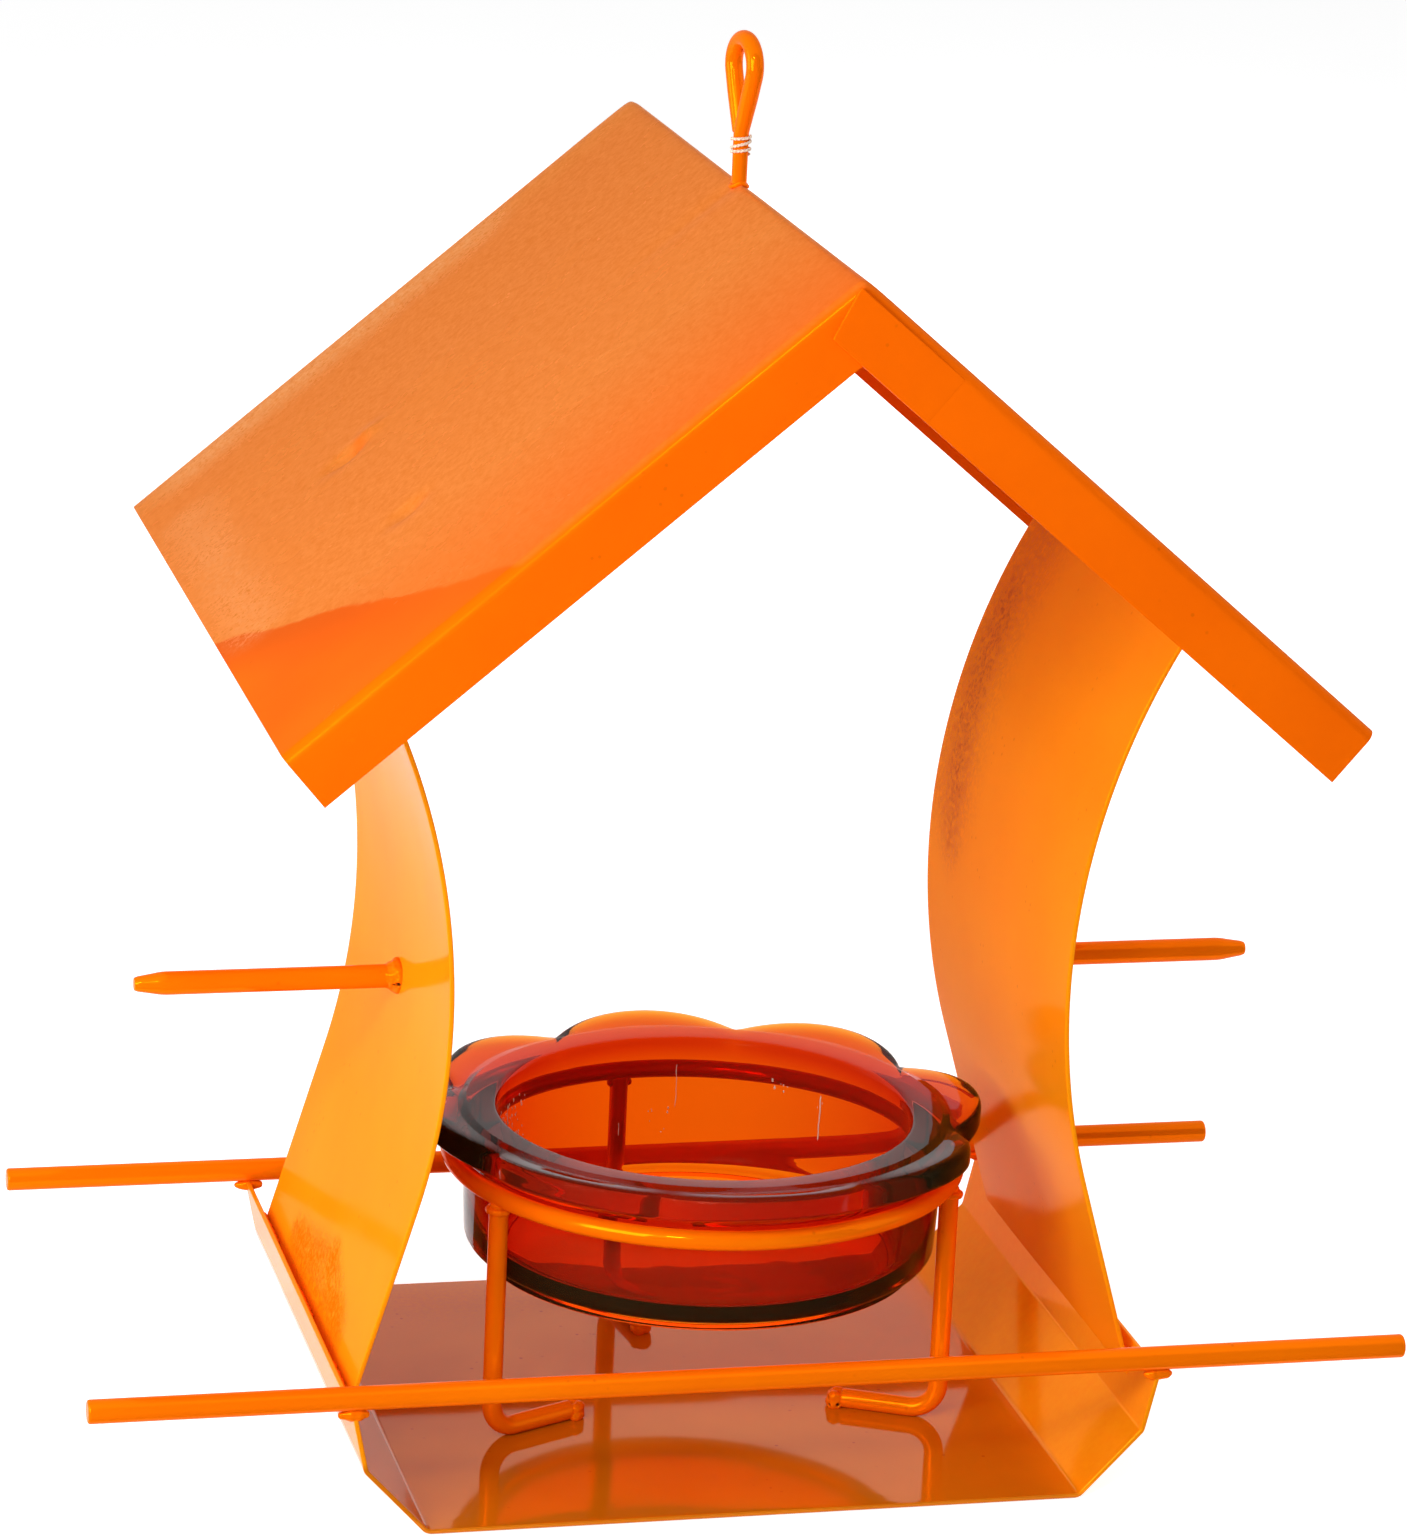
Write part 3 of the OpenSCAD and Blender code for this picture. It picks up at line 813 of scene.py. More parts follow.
class GeometryTree(Group):
    """A geometry node tree that grows finished meshes."""

    ease_factor: float = 0.5
    ease_rounds: int = 3

    def __init__(self, name: str) -> None:
        """Starts a tree that takes the finish of what it grows."""
        super().__init__(name, "GeometryNodeTree")
        self.finish = self.takes("Finish", Kind.MATERIAL)

    def shape(self, name: str) -> Socket:
        """Geometry of an object that the tree takes by name."""
        taken = self.takes(name, Kind.OBJECT)
        return self.node("GeometryNodeObjectInfo", {"Object": taken}).outputs["Geometry"]

    def chance(self, least: object, most: object, seed: Socket) -> Socket:
        """A random value between two others for each point."""
        feeds = {2: least, 3: most, "Seed": seed}
        return self.node("FunctionNodeRandomValue", feeds, data_type="FLOAT").outputs[1]

    def close(self, mesh: Socket) -> None:
        """Ends the tree in a smooth and real mesh with its finish.

        Args:
            mesh: socket of the finished shape.
        """
        smooth = self.node("GeometryNodeSetShadeSmooth", {"Geometry": mesh}).outputs[0]
        real = self.node("GeometryNodeRealizeInstances", {0: smooth}).outputs[0]
        coated = self.node("GeometryNodeSetMaterial", {"Geometry": real, "Material": self.finish}).outputs[0]
        self.gives("Geometry", Kind.GEOMETRY, coated)

    def grow(self, name: str, finish: Material, inputs: dict[str, object], remesh: float = 0.0) -> Object:
        """Grows a plain mesh object.

        Args:
            name: name of the new object.
            finish: material that the tree sets.
            inputs: input name to value; objects among them are removed afterwards.
            remesh: voxel size that fuses the result into one skin, in millimetres, or 0.

        Returns:
            The new object, with no modifier left.
        """
        host = add_object(name, [], [])
        grown = host.modifiers.new("grow", "NODES")
        grown.node_group = self.group
        for label, value in {"Finish": finish, **inputs}.items():
            grown[self.keys[label]] = value
        if remesh:
            skin = host.modifiers.new("skin", "REMESH")
            skin.mode = "VOXEL"
            skin.voxel_size = remesh * MM
            skin.use_smooth_shade = True
            ease = host.modifiers.new("ease", "SMOOTH")
            ease.factor = self.ease_factor
            ease.iterations = self.ease_rounds
        settle(host)
        for value in inputs.values():
            if isinstance(value, Object):
                bpy.data.objects.remove(value)
        return host


class WireTree(GeometryTree):
    """Sweeps a round wire along paths whose points carry a share of its radius."""

    def __init__(self) -> None:
        """Builds the tree."""
        super().__init__("swept_wire")
        path = self.shape("Path")
        radius = self.takes("Wire Radius", Kind.FLOAT, 0.002)
        sides = self.takes("Sides", Kind.INT, 32)
        circle = {"Resolution": sides, "Radius": radius}
        ring = self.node("GeometryNodeCurvePrimitiveCircle", circle).outputs[0]
        taper = self.node("GeometryNodeInputRadius").outputs[0]
        self.close(self.node("GeometryNodeCurveToMesh", {"Curve": path, "Profile Curve": ring, "Scale": taper,
                                                         "Fill Caps": True}).outputs[0])

    def sweep(self, name: str, finish: Material, runs: Iterable[Run], radius: float, sides: int,
              cyclic: bool = False) -> Object:
        """Sweeps one piece of wire.

        Args:
            name: name of the new object.
            finish: material of the wire.
            runs: paths whose points carry a share of the radius.
            radius: the wire's radius.
            sides: points round the wire.
            cyclic: whether each path closes on itself.

        Returns:
            The new object.
        """
        inputs = {"Path": path_object(runs, cyclic), "Wire Radius": radius * MM, "Sides": sides}
        obj = self.grow(name, finish, inputs)
        outward(obj)
        return obj


class BeadTree(GeometryTree):
    """Lays lumpy weld nuggets along paths whose points carry their radius."""

    lump_scale: float = 620.0

    def __init__(self) -> None:
        """Builds the tree."""
        super().__init__("weld_bead")
        path = self.shape("Path")
        step = self.takes("Step", Kind.FLOAT, 0.0008)
        uneven = self.takes("Unevenness", Kind.FLOAT, 0.18)
        lumps = self.takes("Lump Height", Kind.FLOAT, 0.0003)
        seed = self.takes("Seed", Kind.INT, 3)
        spaced = {"Curve": path, "Length": step}
        dots = self.node("GeometryNodeResampleCurve", spaced, mode="LENGTH").outputs[0]
        nugget = self.node("GeometryNodeMeshIcoSphere", {"Radius": 1.0, "Subdivisions": 3}).outputs[0]
        chance = self.chance(self.minus(1.0, uneven), self.plus(1.0, uneven), seed)
        size = self.times(self.node("GeometryNodeInputRadius").outputs[0], chance)
        laid = self.node("GeometryNodeInstanceOnPoints", {"Points": dots, "Instance": nugget, "Scale": size})
        real = self.node("GeometryNodeRealizeInstances", {0: laid.outputs[0]}).outputs[0]
        cloud = self.node("ShaderNodeTexNoise", {"Scale": self.lump_scale, "Detail": 1.5}).outputs["Color"]
        push = self.vector("SCALE", self.vector("SUBTRACT", cloud, (0.5, 0.5, 0.5)), lumps)
        self.close(self.node("GeometryNodeSetPosition", {"Geometry": real, "Offset": push}).outputs[0])


class PetalTree(GeometryTree):
    """Turns a bowl about its axis between a petal's and a notch's section."""

    softness: float = 0.012
    weld: float = 0.00001

    def __init__(self) -> None:
        """Builds the tree."""
        super().__init__("petal_bowl")
        sections = [self.shape("Notch Section"), self.shape("Petal Section")]
        count = self.takes("Section Points", Kind.INT, 80)
        steps = self.takes("Turn Points", Kind.INT, 193)
        petals = self.takes("Petals", Kind.FLOAT, 8.0)
        turn = self.takes("Turn", Kind.FLOAT, 0.0)
        axis = self.takes("Axis", Kind.VECTOR, (0, 0, 0))
        grid = self.node("GeometryNodeMeshGrid", {"Vertices X": count, "Vertices Y": steps}).outputs[0]
        number = self.node("GeometryNodeInputIndex").outputs[0]
        row = self.maths("FLOOR", self.over(self.plus(number, 0.5), steps))
        column = self.minus(number, self.times(row, steps))
        angle = self.times(self.over(column, self.minus(steps, 1.0)), 2 * math.pi)
        half = self.over(self.over(2 * math.pi, petals), 2.0)
        share = self.petal_share(self.maths("WRAP", angle, half, self.times(half, -1.0)))
        places = [self.section_point(section, row) for section in sections]
        between = {0: share, 4: places[0], 5: places[1]}
        place = self.node("ShaderNodeMix", between, data_type="VECTOR").outputs[1]
        parts = self.node("ShaderNodeSeparateXYZ", {0: place}).outputs
        heading = self.plus(angle, turn)
        x, y = (self.times(parts[0], self.maths(wave, heading)) for wave in ("COSINE", "SINE"))
        turned = self.node("ShaderNodeCombineXYZ", {0: x, 1: y, 2: parts[2]}).outputs[0]
        moved = self.vector("ADD", turned, axis)
        shaped = self.node("GeometryNodeSetPosition", {"Geometry": grid, "Position": moved}).outputs[0]
        seam = {"Geometry": shaped, "Distance": self.weld}
        self.close(self.node("GeometryNodeMergeByDistance", seam).outputs[0])

    def petal_share(self, swing: Socket) -> Socket:
        """How far the rim's outline stands out from the notches, softened at its foot.

        Args:
            swing: angle from the middle of the nearest petal.

        Returns:
            Socket of the share, 0 in a notch and 1 at a petal's tip.
        """
        reach = self.takes("Lobe Centre", Kind.FLOAT, 0.035)
        lobe = self.takes("Lobe Radius", Kind.FLOAT, 0.0265)
        inner = self.takes("Notch Radius", Kind.FLOAT, 0.0552)
        across, ahead = (self.times(reach, self.maths(wave, swing)) for wave in ("SINE", "COSINE"))
        root = self.maths("SQRT", self.minus(self.times(lobe, lobe), self.times(across, across)))
        beyond = self.minus(self.plus(ahead, root), inner)
        swell = self.over(beyond, self.minus(self.plus(reach, lobe), inner))
        soft = self.maths("SQRT", self.plus(self.times(swell, swell), self.softness))
        return self.times(self.plus(swell, soft), 0.5, clamp=True)

    def section_point(self, section: Socket, row: Socket) -> Socket:
        """Place of a section's point by its number."""
        feeds = {0: section, 1: self.node("GeometryNodeInputPosition").outputs[0], "Index": row}
        return self.node("GeometryNodeSampleIndex", feeds, data_type="FLOAT_VECTOR",
                         domain="POINT").outputs[0]


class DropTree(GeometryTree):
    """Scatters small flat drops over a wall."""

    least: float = 0.25
    flatness: float = 0.35

    def __init__(self) -> None:
        """Builds the tree."""
        super().__init__("dried_drops")
        wall = self.shape("Wall")
        amount = self.takes("Drops Per Area", Kind.FLOAT, 20000.0)
        size = self.takes("Drop Radius", Kind.FLOAT, 0.0004)
        stretch = self.takes("Stretch", Kind.FLOAT, 2.0)
        seed = self.takes("Seed", Kind.INT, 5)
        strewn = {"Mesh": wall, "Density": amount, "Seed": seed}
        dots = self.node("GeometryNodeDistributePointsOnFaces", strewn).outputs
        drop = self.node("GeometryNodeMeshIcoSphere", {"Radius": size, "Subdivisions": 2}).outputs[0]
        flat = self.node("ShaderNodeCombineXYZ", {0: 1.0, 1: stretch, 2: self.flatness}).outputs[0]
        scale = self.vector("SCALE", flat, self.chance(self.least, 1.0, seed))
        laid = {"Points": dots["Points"], "Instance": drop, "Rotation": dots["Rotation"], "Scale": scale}
        self.close(self.node("GeometryNodeInstanceOnPoints", laid).outputs[0])


class Shop:
    """The node trees and the materials that the sub-assemblies share."""

    def __init__(self) -> None:
        """Builds each of them once."""
        self.wire = WireTree()
        self.bead = BeadTree()
        self.petal = PetalTree()
        self.drops = DropTree()
        self.finish = Finishes()


def path_object(runs: Iterable[Run], cyclic: bool = False) -> Object:
    """Adds a helper curve.

    Args:
        runs: polylines whose points are (x, y, z, radius), places in millimetres.
        cyclic: whether each run closes on itself.

    Returns:
        The curve object.
    """
    curve = bpy.data.curves.new("path", "CURVE")
    curve.dimensions = "3D"
    for run in runs:
        spline = curve.splines.new("POLY")
        spline.points.add(len(run) - 1)
        for dot, (x, y, z, r) in zip(spline.points, run):
            dot.co = (x * MM, y * MM, z * MM, 1.0)
            dot.radius = r
        spline.use_cyclic_u = cyclic
    obj = bpy.data.objects.new("path", curve)
    bpy.context.scene.collection.objects.link(obj)
    return obj


def rounded_run(points: Sequence[Vector], radius: float, edge: float, sections: int = 5) -> Run:
    """A wire's path whose cut ends are eased.

    Args:
        points: places along the wire's axis, in millimetres.
        radius: the wire's radius.
        edge: rounding of the two cut ends.
        sections: points in each rounding.

    Returns:
        Path points with the share of the radius at each.
    """
    first = (points[1] - points[0]).normalized()
    last = (points[-1] - points[-2]).normalized()
    turns = [math.pi / 2 * k / sections for k in range(sections + 1)]
    eased = [(edge * (1 - math.cos(a)), 1 - edge / radius * (1 - math.sin(a))) for a in turns]
    run = [(*(points[0] + first * d), share) for d, share in eased]
    run += [(*p, 1.0) for p in points[1:-1]]
    return run + [(*(points[-1] - last * d), share) for d, share in reversed(eased)]


def arc(centre: Vector, first: Vector, second: Vector, radius: float, stop: float,
        steps: int) -> list[Vector]:
    """Points of a circular arc from one unit vector towards another, by its angle in degrees."""
    turns = [cos_sin(a) for a in spread(0, stop, steps)]
    return [centre + radius * (c * first + s * second) for c, s in turns]


def sheet_object(name: str, face: Sequence[Outline], edge: float = SHEET_EDGE) -> Object:
    """A closed sheet of even thickness with eased edges.

    Args:
        name: name of the object.
        face: rows of outer points with their outward normals.
        edge: rounding of the sheet's edges.

    Returns:
        The new object.
    """
    rows, columns = len(face), len(face[0])
    outer = [p for row in face for p, _ in row]
    inner = [p - n * SHEET for row in face for p, n in row]
    size = rows * columns
    faces = []
    for i in range(rows - 1):
        for j in range(columns - 1):
            a, b = i * columns + j, i * columns + j + 1
            c, d = b + columns, a + columns
            faces += [(a, b, c, d), (d + size, c + size, b + size, a + size)]
    rim = list(range(columns)) + [i * columns + columns - 1 for i in range(1, rows)]
    rim += [(rows - 1) * columns + j for j in range(columns - 2, -1, -1)]
    rim += [i * columns for i in range(rows - 2, 0, -1)]
    faces += [(b, a, a + size, b + size) for a, b in zip(rim, rim[1:] + rim[:1])]
    obj = add_object(name, outer + inner, faces)
    outward(obj)
    obj.data.shade_smooth()
    ease = obj.modifiers.new("ease", "BEVEL")
    ease.width = edge * MM
    ease.segments = SHEET_EDGE_STEPS
    ease.limit_method = "ANGLE"
    ease.angle_limit = math.radians(SHEET_EDGE_ANGLE)
    ease.harden_normals = False
    even = obj.modifiers.new("even", "WEIGHTED_NORMAL")
    even.keep_sharp = False
    settle(obj)
    return obj


@dataclass(frozen=True)
class Piece:
    """A built piece with its finish, its slot, the frame nodes that it stands for and its body."""

    obj: Object
    finish: Material
    slot: Slot
    nodes: tuple[str, ...] = ()
    body: Body = Body.FRAME

    def dress(self) -> None:
        """Gives the piece its material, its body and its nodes."""
        self.obj.data.materials.clear()
        self.obj.data.materials.append(self.finish)
        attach(self.obj, self.body.value)
        if self.nodes:
            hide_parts(*self.nodes)
        LOG.info("%s: %d faces on %s", self.obj.name, len(self.obj.data.polygons), self.body.value)


@dataclass
class Part:
    """A sub-assembly, whose own build method fills its list of pieces."""

    pieces: list[Piece] = field(default_factory=list, kw_only=True)

    def dress(self) -> None:
        """Dresses every piece."""
        for piece in self.pieces:
            piece.dress()


@dataclass
class Roof(Part):
    """Two slopes of one folded sheet, with fascias turned down at the front and the rear."""

    slope: float = 143.0
    depth: float = 202.0
    fascia: float = 13.0
    fold: float = 2.5
    ridge_rows: tuple[float, ...] = (0.0, 0.35, 0.75, 1.2, 1.8, 2.6, 3.6, 5.0)
    first_row: float = 7.0
    row_step: float = 2.0
    rear_points: int = 12
    fascia_steps: int = 5
    fold_steps: int = 8
    flat_steps: int = 98
    lap_steps: tuple[int, int] = (24, 10)
    lap_len: float = 30.0
    lap_cut: float = 2.4
    lap_start: float = 0.2
    lap_short: float = 1.5
    lap_sink: float = 0.02
    lap_under: float = 0.6
    lap_above: float = 0.05
    lap_edge: float = 0.22
    crease: tuple[float, float, float] = (0.45, 3.0, 34.0)
    buckle: float = 0.2
    buckle_rate: float = 0.016
    ridge_hold: float = 20.0
    edge_hold: float = 12.0
    dent_hold: tuple[float, float] = (4.0, 0.2)
    # weights of the painted sheen: on all upward faces, away from the front edge, along the rear edge
    weather: tuple[float, float, float] = (0.3, 0.55, 0.15)
    sky_band: tuple[float, float] = (0.5, 0.2)
    front_fade: float = 60.0
    rear_fade: tuple[float, float] = (16.0, 10.0)
    # place down the slope and along the ridge, reach in both directions, height
    dents: tuple[tuple[float, float, float, float, float], ...] = (
        (-98.7, 25.4, 4.5, 2.4, -1.5), (-92.0, 29.0, 3.0, 2.4, 0.9), (-95.4, -30.0, 4.0, 2.4, -1.2),
        (-60.0, 52.0, 22.0, 16.0, -0.2), (-118.0, 70.0, 18.0, 20.0, 0.16), (-40.0, -60.0, 20.0, 26.0, 0.14),
        (64.0, -22.0, 7.0, 3.0, -0.2), (96.0, 44.0, 9.0, 4.0, -0.2), (50.0, 60.0, 26.0, 20.0, 0.18),
        (112.0, -62.0, 20.0, 16.0, -0.15))

    def profile(self) -> list[PathPoint]:
        """Outer line across the depth.

        Returns:
            Place along Y, depth under the slope's plane, and the normal in those two directions.
        """
        half = self.depth / 2
        flat = half - self.fold
        line = [(-half, w, -1.0, 0.0) for w in spread(self.fascia, self.fold, self.fascia_steps)[:-1]]
        for a in spread(0, 90, self.fold_steps):
            c, s = cos_sin(a)
            line.append((-half + self.fold * (1 - c), self.fold * (1 - s), -c, -s))
        line += [(y, 0.0, 0.0, -1.0) for y in spread(-flat, flat, self.flat_steps)[1:-1]]
        return line + [(-y, w, -ny, nw) for y, w, ny, nw in reversed(line[:self.rear_points])]

    def stations(self) -> list[float]:
        """Shares of the slope at which rows of points lie, from the ridge down."""
        rest = spread(self.first_row, self.slope, round((self.slope - self.first_row) / self.row_step))
        return [s / self.slope for s in [*self.ridge_rows, *rest]]

    def sag(self, s: float, y: float) -> float:
        """Small rise or dip of the sheet.

        Args:
            s: distance down the slope, with the side's sign.
            y: place along the ridge.

        Returns:
            Height over the slope's plane.
        """
        away = abs(s)
        deep, wide, long = self.crease
        rise = sum(h * math.exp(-((s - ds) / ws) ** 2 - ((y - dy) / wy) ** 2)
                   for ds, dy, ws, wy, h in self.dents)
        rise -= deep * math.exp(-(y / wide) ** 2) * max(0.0, 1 - away / long)
        wave = self.buckle * ripple(s * self.buckle_rate, y * self.buckle_rate, 4.0)
        hold = min(1.0, away / self.ridge_hold) * min(1.0, (self.depth / 2 - abs(y)) / self.edge_hold)
        return rise * min(1.0, away / self.dent_hold[0] + self.dent_hold[1]) + wave * max(0.0, hold)

    @staticmethod
    def axes(side: Side) -> tuple[Vector, Vector]:
        """Directions down a slope and out of it."""
        level, rise = cos_sin(PITCH)
        return Vector((side.value * level, 0, -rise)), Vector((side.value * rise, 0, level))

    def place(self, side: Side, share: float, y: float, w: float, ny: float,
              nw: float) -> tuple[Vector, Vector]:
        """A point of the outer face with its normal.

        Args:
            side: side of the feeder.
            share: share of the slope below the ridge.
            y: place along the ridge.
            w: depth under the slope's plane.
            ny: the normal's part along the ridge.
            nw: the normal's part into the slope.

        Returns:
            Point and outward normal.
        """
        down, out = self.axes(side)
        steep = math.tan(math.radians(PITCH))
        first = w * steep
        s = first + (self.slope - first) * share
        point = Vector((0, y, RIDGE_Z)) + s * down - w * out
        point += out * self.sag(side.value * s, y) * max(0.0, 1 - w / self.fold)
        eased = math.hypot(point.x, RIDGE_ROUND) - abs(point.x)
        point.z -= eased * steep * max(0.0, 1 - w / self.fascia)
        return point, Vector((0, ny, 0)) - out * nw

    def build(self, shop: Shop) -> None:
        """Builds the folded sheet and the two lapped ends at the apex.

        Args:
            shop: shared trees and materials.
        """
        line, stations = self.profile(), self.stations()
        rows = [[self.place(Side.LEFT, f, *p) for p in line] for f in reversed(stations[1:])]
        rows += [[self.place(Side.RIGHT, f, *p) for p in line] for f in stations]
        top = sheet_object("roof_sheet", rows)
        # share of the painted sheen at each vertex
        mark(top, MARK_SHARE, [self.sheen_cover(v.normal.z, v.co.y / MM) for v in top.data.vertices])
        self.pieces.append(Piece(top, shop.finish.roof, Slot.SHEET, ("roof",)))
        for side, end in ((Side.RIGHT, End.FRONT), (Side.LEFT, End.REAR)):
            self.pieces.append(Piece(self.lap(side, end), shop.finish.roof, Slot.SHEET))

    def sheen_cover(self, upright: float, y: float) -> float:
        """How much of the painted sheen, a painted sky reflection, a point of the sheet takes: most on upward
        faces, fading towards the front edge, with a little more along the rear edge.

        Args:
            upright: the normal's part along Z.
            y: place along the ridge.

        Returns:
            Share from 0 to 1.
        """
        sky = clip((upright - self.sky_band[0]) / self.sky_band[1])
        front = clip((y + self.depth / 2) / self.front_fade)
        rear = clip((y - self.depth / 2 + self.rear_fade[0]) / self.rear_fade[1])
        return sky * sum(share * part for share, part in zip(self.weather, (1.0, front, rear)))

    def lap(self, side: Side, end: End) -> Object:
        """The end of one fascia, which eases out over the other.

        Args:
            side: half of the roof that the fascia belongs to.
            end: front or rear.

        Returns:
            The new object.
        """
        down, out = self.axes(side)
        rows = []
        for share in spread(0, 1, self.lap_steps[0]):
            row = []
            for w in spread(self.fold - self.lap_under, self.fascia - self.lap_above, self.lap_steps[1]):
                first = self.lap_start + self.lap_cut * max(0.0, w - self.fold) / (self.fascia - self.fold)
                s = first + (self.lap_len - self.lap_short - first) * share
                y = self.depth / 2 + SHEET * (1 - s / self.lap_len) - self.lap_sink
                point = Vector((0, end.value * y, RIDGE_Z)) + s * down - w * out
                row.append((point, Vector((0, end.value, 0))))
            rows.append(row)
        return sheet_object(f"{end.name.lower()}_fascia_lap", rows, edge=self.lap_edge)


@dataclass
class SidePanel(Part):
    """A waisted panel between the tray and the roof."""

    side: Side
    waist_x: float = 65.7
    waist_z: float = 107.0
    lower_r: float = 148.0
    upper_r: float = 152.48
    lean: float = 16.5
    seat_z: float = 21.2
    top_z: float = 191.0
    half_depth: float = 53.0
    leg_steps: int = 24
    lower_steps: int = 24
    upper_steps: int = 46
    depth_steps: int = 52
    buckle: float = 0.16
    buckle_rates: tuple[float, float] = (0.02, 0.025)
    buckle_start: float = 9.0
    margin: float = 8.0
    marked: float = -0.3

    def line(self) -> Outline:
        """The panel's outer line from its seat up to the roof.

        Returns:
            Points in the plane of the ridge's middle, with their normals.
        """
        level, rise = cos_sin(self.lean)
        low, high = (Vector((self.waist_x + r, 0, self.waist_z)) for r in (self.lower_r, self.upper_r))
        leg_out, leg_down = Vector((level, 0, rise)), Vector((rise, 0, -level))
        leg_top = low - self.lower_r * leg_out
        leg_len = (leg_top.z - self.seat_z) / level
        pairs = [(leg_top + leg_down * d, leg_out) for d in spread(leg_len, 0, self.leg_steps)]
        stop = math.degrees(math.asin((self.top_z - self.waist_z) / self.upper_r))
        turns = [(low, self.lower_r, a) for a in spread(self.lean, 0, self.lower_steps)[1:]]
        turns += [(high, self.upper_r, -a) for a in spread(0, stop, self.upper_steps)[1:]]
        for centre, radius, a in turns:
            c, s = cos_sin(a)
            out = Vector((c, 0, s))
            pairs.append((centre - radius * out, out))
        sign = self.side.value
        return [(Vector((sign * p.x, 0, p.z)), Vector((sign * n.x, 0, n.z))) for p, n in pairs]

    def build(self, shop: Shop) -> None:
        """Builds the panel.

        Args:
            shop: shared trees and materials.
        """
        rows, (along, up), start = [], self.buckle_rates, self.buckle_start * self.side.value
        for point, normal in self.line():
            row = []
            for y in spread(-self.half_depth, self.half_depth, self.depth_steps):
                wave = self.buckle * ripple(y * along, point.z * up, start)
                hold = min(1.0, (self.half_depth - abs(y)) / self.margin)
                row.append((point + Vector((0, y, 0)) + normal * wave * hold, normal))
            rows.append(row)
        name = self.side.name.lower()
        obj = sheet_object(f"{name}_panel_sheet", rows)
        # faces turned towards -X take the panel's streaks
        mark(obj, MARK_SHARE, [float(v.normal.x < self.marked) for v in obj.data.vertices])
        self.pieces.append(Piece(obj, shop.finish.panels[self.side], Slot.SHEET, (f"{name}_side_panel",)))


@dataclass
class Tray(Part):
    """The folded tray: a floor, two sloped facets and two flanges."""

    height: float = 28.0
    half_depth: float = 68.0
    floor_half: float = 70.07
    facet: float = 19.5
    facet_angle: float = 47.0
    flange_angle: float = 78.0
    fold: float = 2.5
    buckle: float = 0.096
    buckle_rate: float = 0.02
    margin: float = 3.0
    tilt: float = 0.01
    leg_steps: tuple[int, int, int] = (34, 10, 8)
    fold_steps: int = 8
    depth_steps: int = 68

    def half_line(self) -> Outline:
        """The outer line from the floor's middle to the right flange's top.

        Returns:
            Points in the plane of the ridge's middle, with their normals.
        """
        bend = self.flange_angle - self.facet_angle
        back = [self.fold * math.tan(math.radians(a / 2)) for a in (self.facet_angle, bend)]
        level, rise = cos_sin(self.flange_angle)
        flange = (self.height - SHEET * level - self.facet * cos_sin(self.facet_angle)[1]) / rise
        legs = [(self.floor_half - back[0], self.facet_angle), (self.facet - back[0] - back[1], bend),
                (flange - back[1], 0.0)]
        place, heading, pairs = Vector((0, 0, 0)), 0.0, []
        for (length, fold), steps in zip(legs, self.leg_steps):
            c, s = cos_sin(heading)
            ahead, out = Vector((c, 0, s)), Vector((s, 0, -c))
            pairs += [(place + ahead * d, out) for d in spread(0, length, steps)[1 if pairs else 0:]]
            place = place + ahead * length
            if fold:
                mid = place - out * self.fold
                for a in spread(heading, heading + fold, self.fold_steps)[1:]:
                    c, s = cos_sin(a)
                    out = Vector((s, 0, -c))
                    pairs.append((mid + out * self.fold, out))
                place = pairs[-1][0]
            heading += fold
        return pairs

    def lift(self, point: Vector, level: bool, y: float) -> float:
        """How far the buckled sheet stands in from its line.

        Args:
            point: point of the line.
            level: whether the point lies on the floor, which never sinks.
            y: place along the ridge.

        Returns:
            Distance against the normal.
        """
        wave = self.buckle * ripple(point.x * self.buckle_rate, y * self.buckle_rate, 2.0)
        if not level:
            return wave
        return 0.0 if abs(y) > self.half_depth - self.margin else abs(wave)

    def build(self, shop: Shop) -> None:
        """Builds the tray.

        Args:
            shop: shared trees and materials.
        """
        half = self.half_line()
        mirror = [(Vector((-p.x, 0, p.z)), Vector((-n.x, 0, n.z))) for p, n in reversed(half[1:])]
        rows = []
        for point, normal in mirror + half:
            level = abs(normal.x) < self.tilt
            rows.append([(point + Vector((0, y, 0)) - normal * self.lift(point, level, y), normal)
                         for y in spread(-self.half_depth, self.half_depth, self.depth_steps)])
        obj = sheet_object("tray_sheet", rows)
        self.pieces.append(Piece(obj, shop.finish.tray, Slot.SHEET, ("base_tray",)))


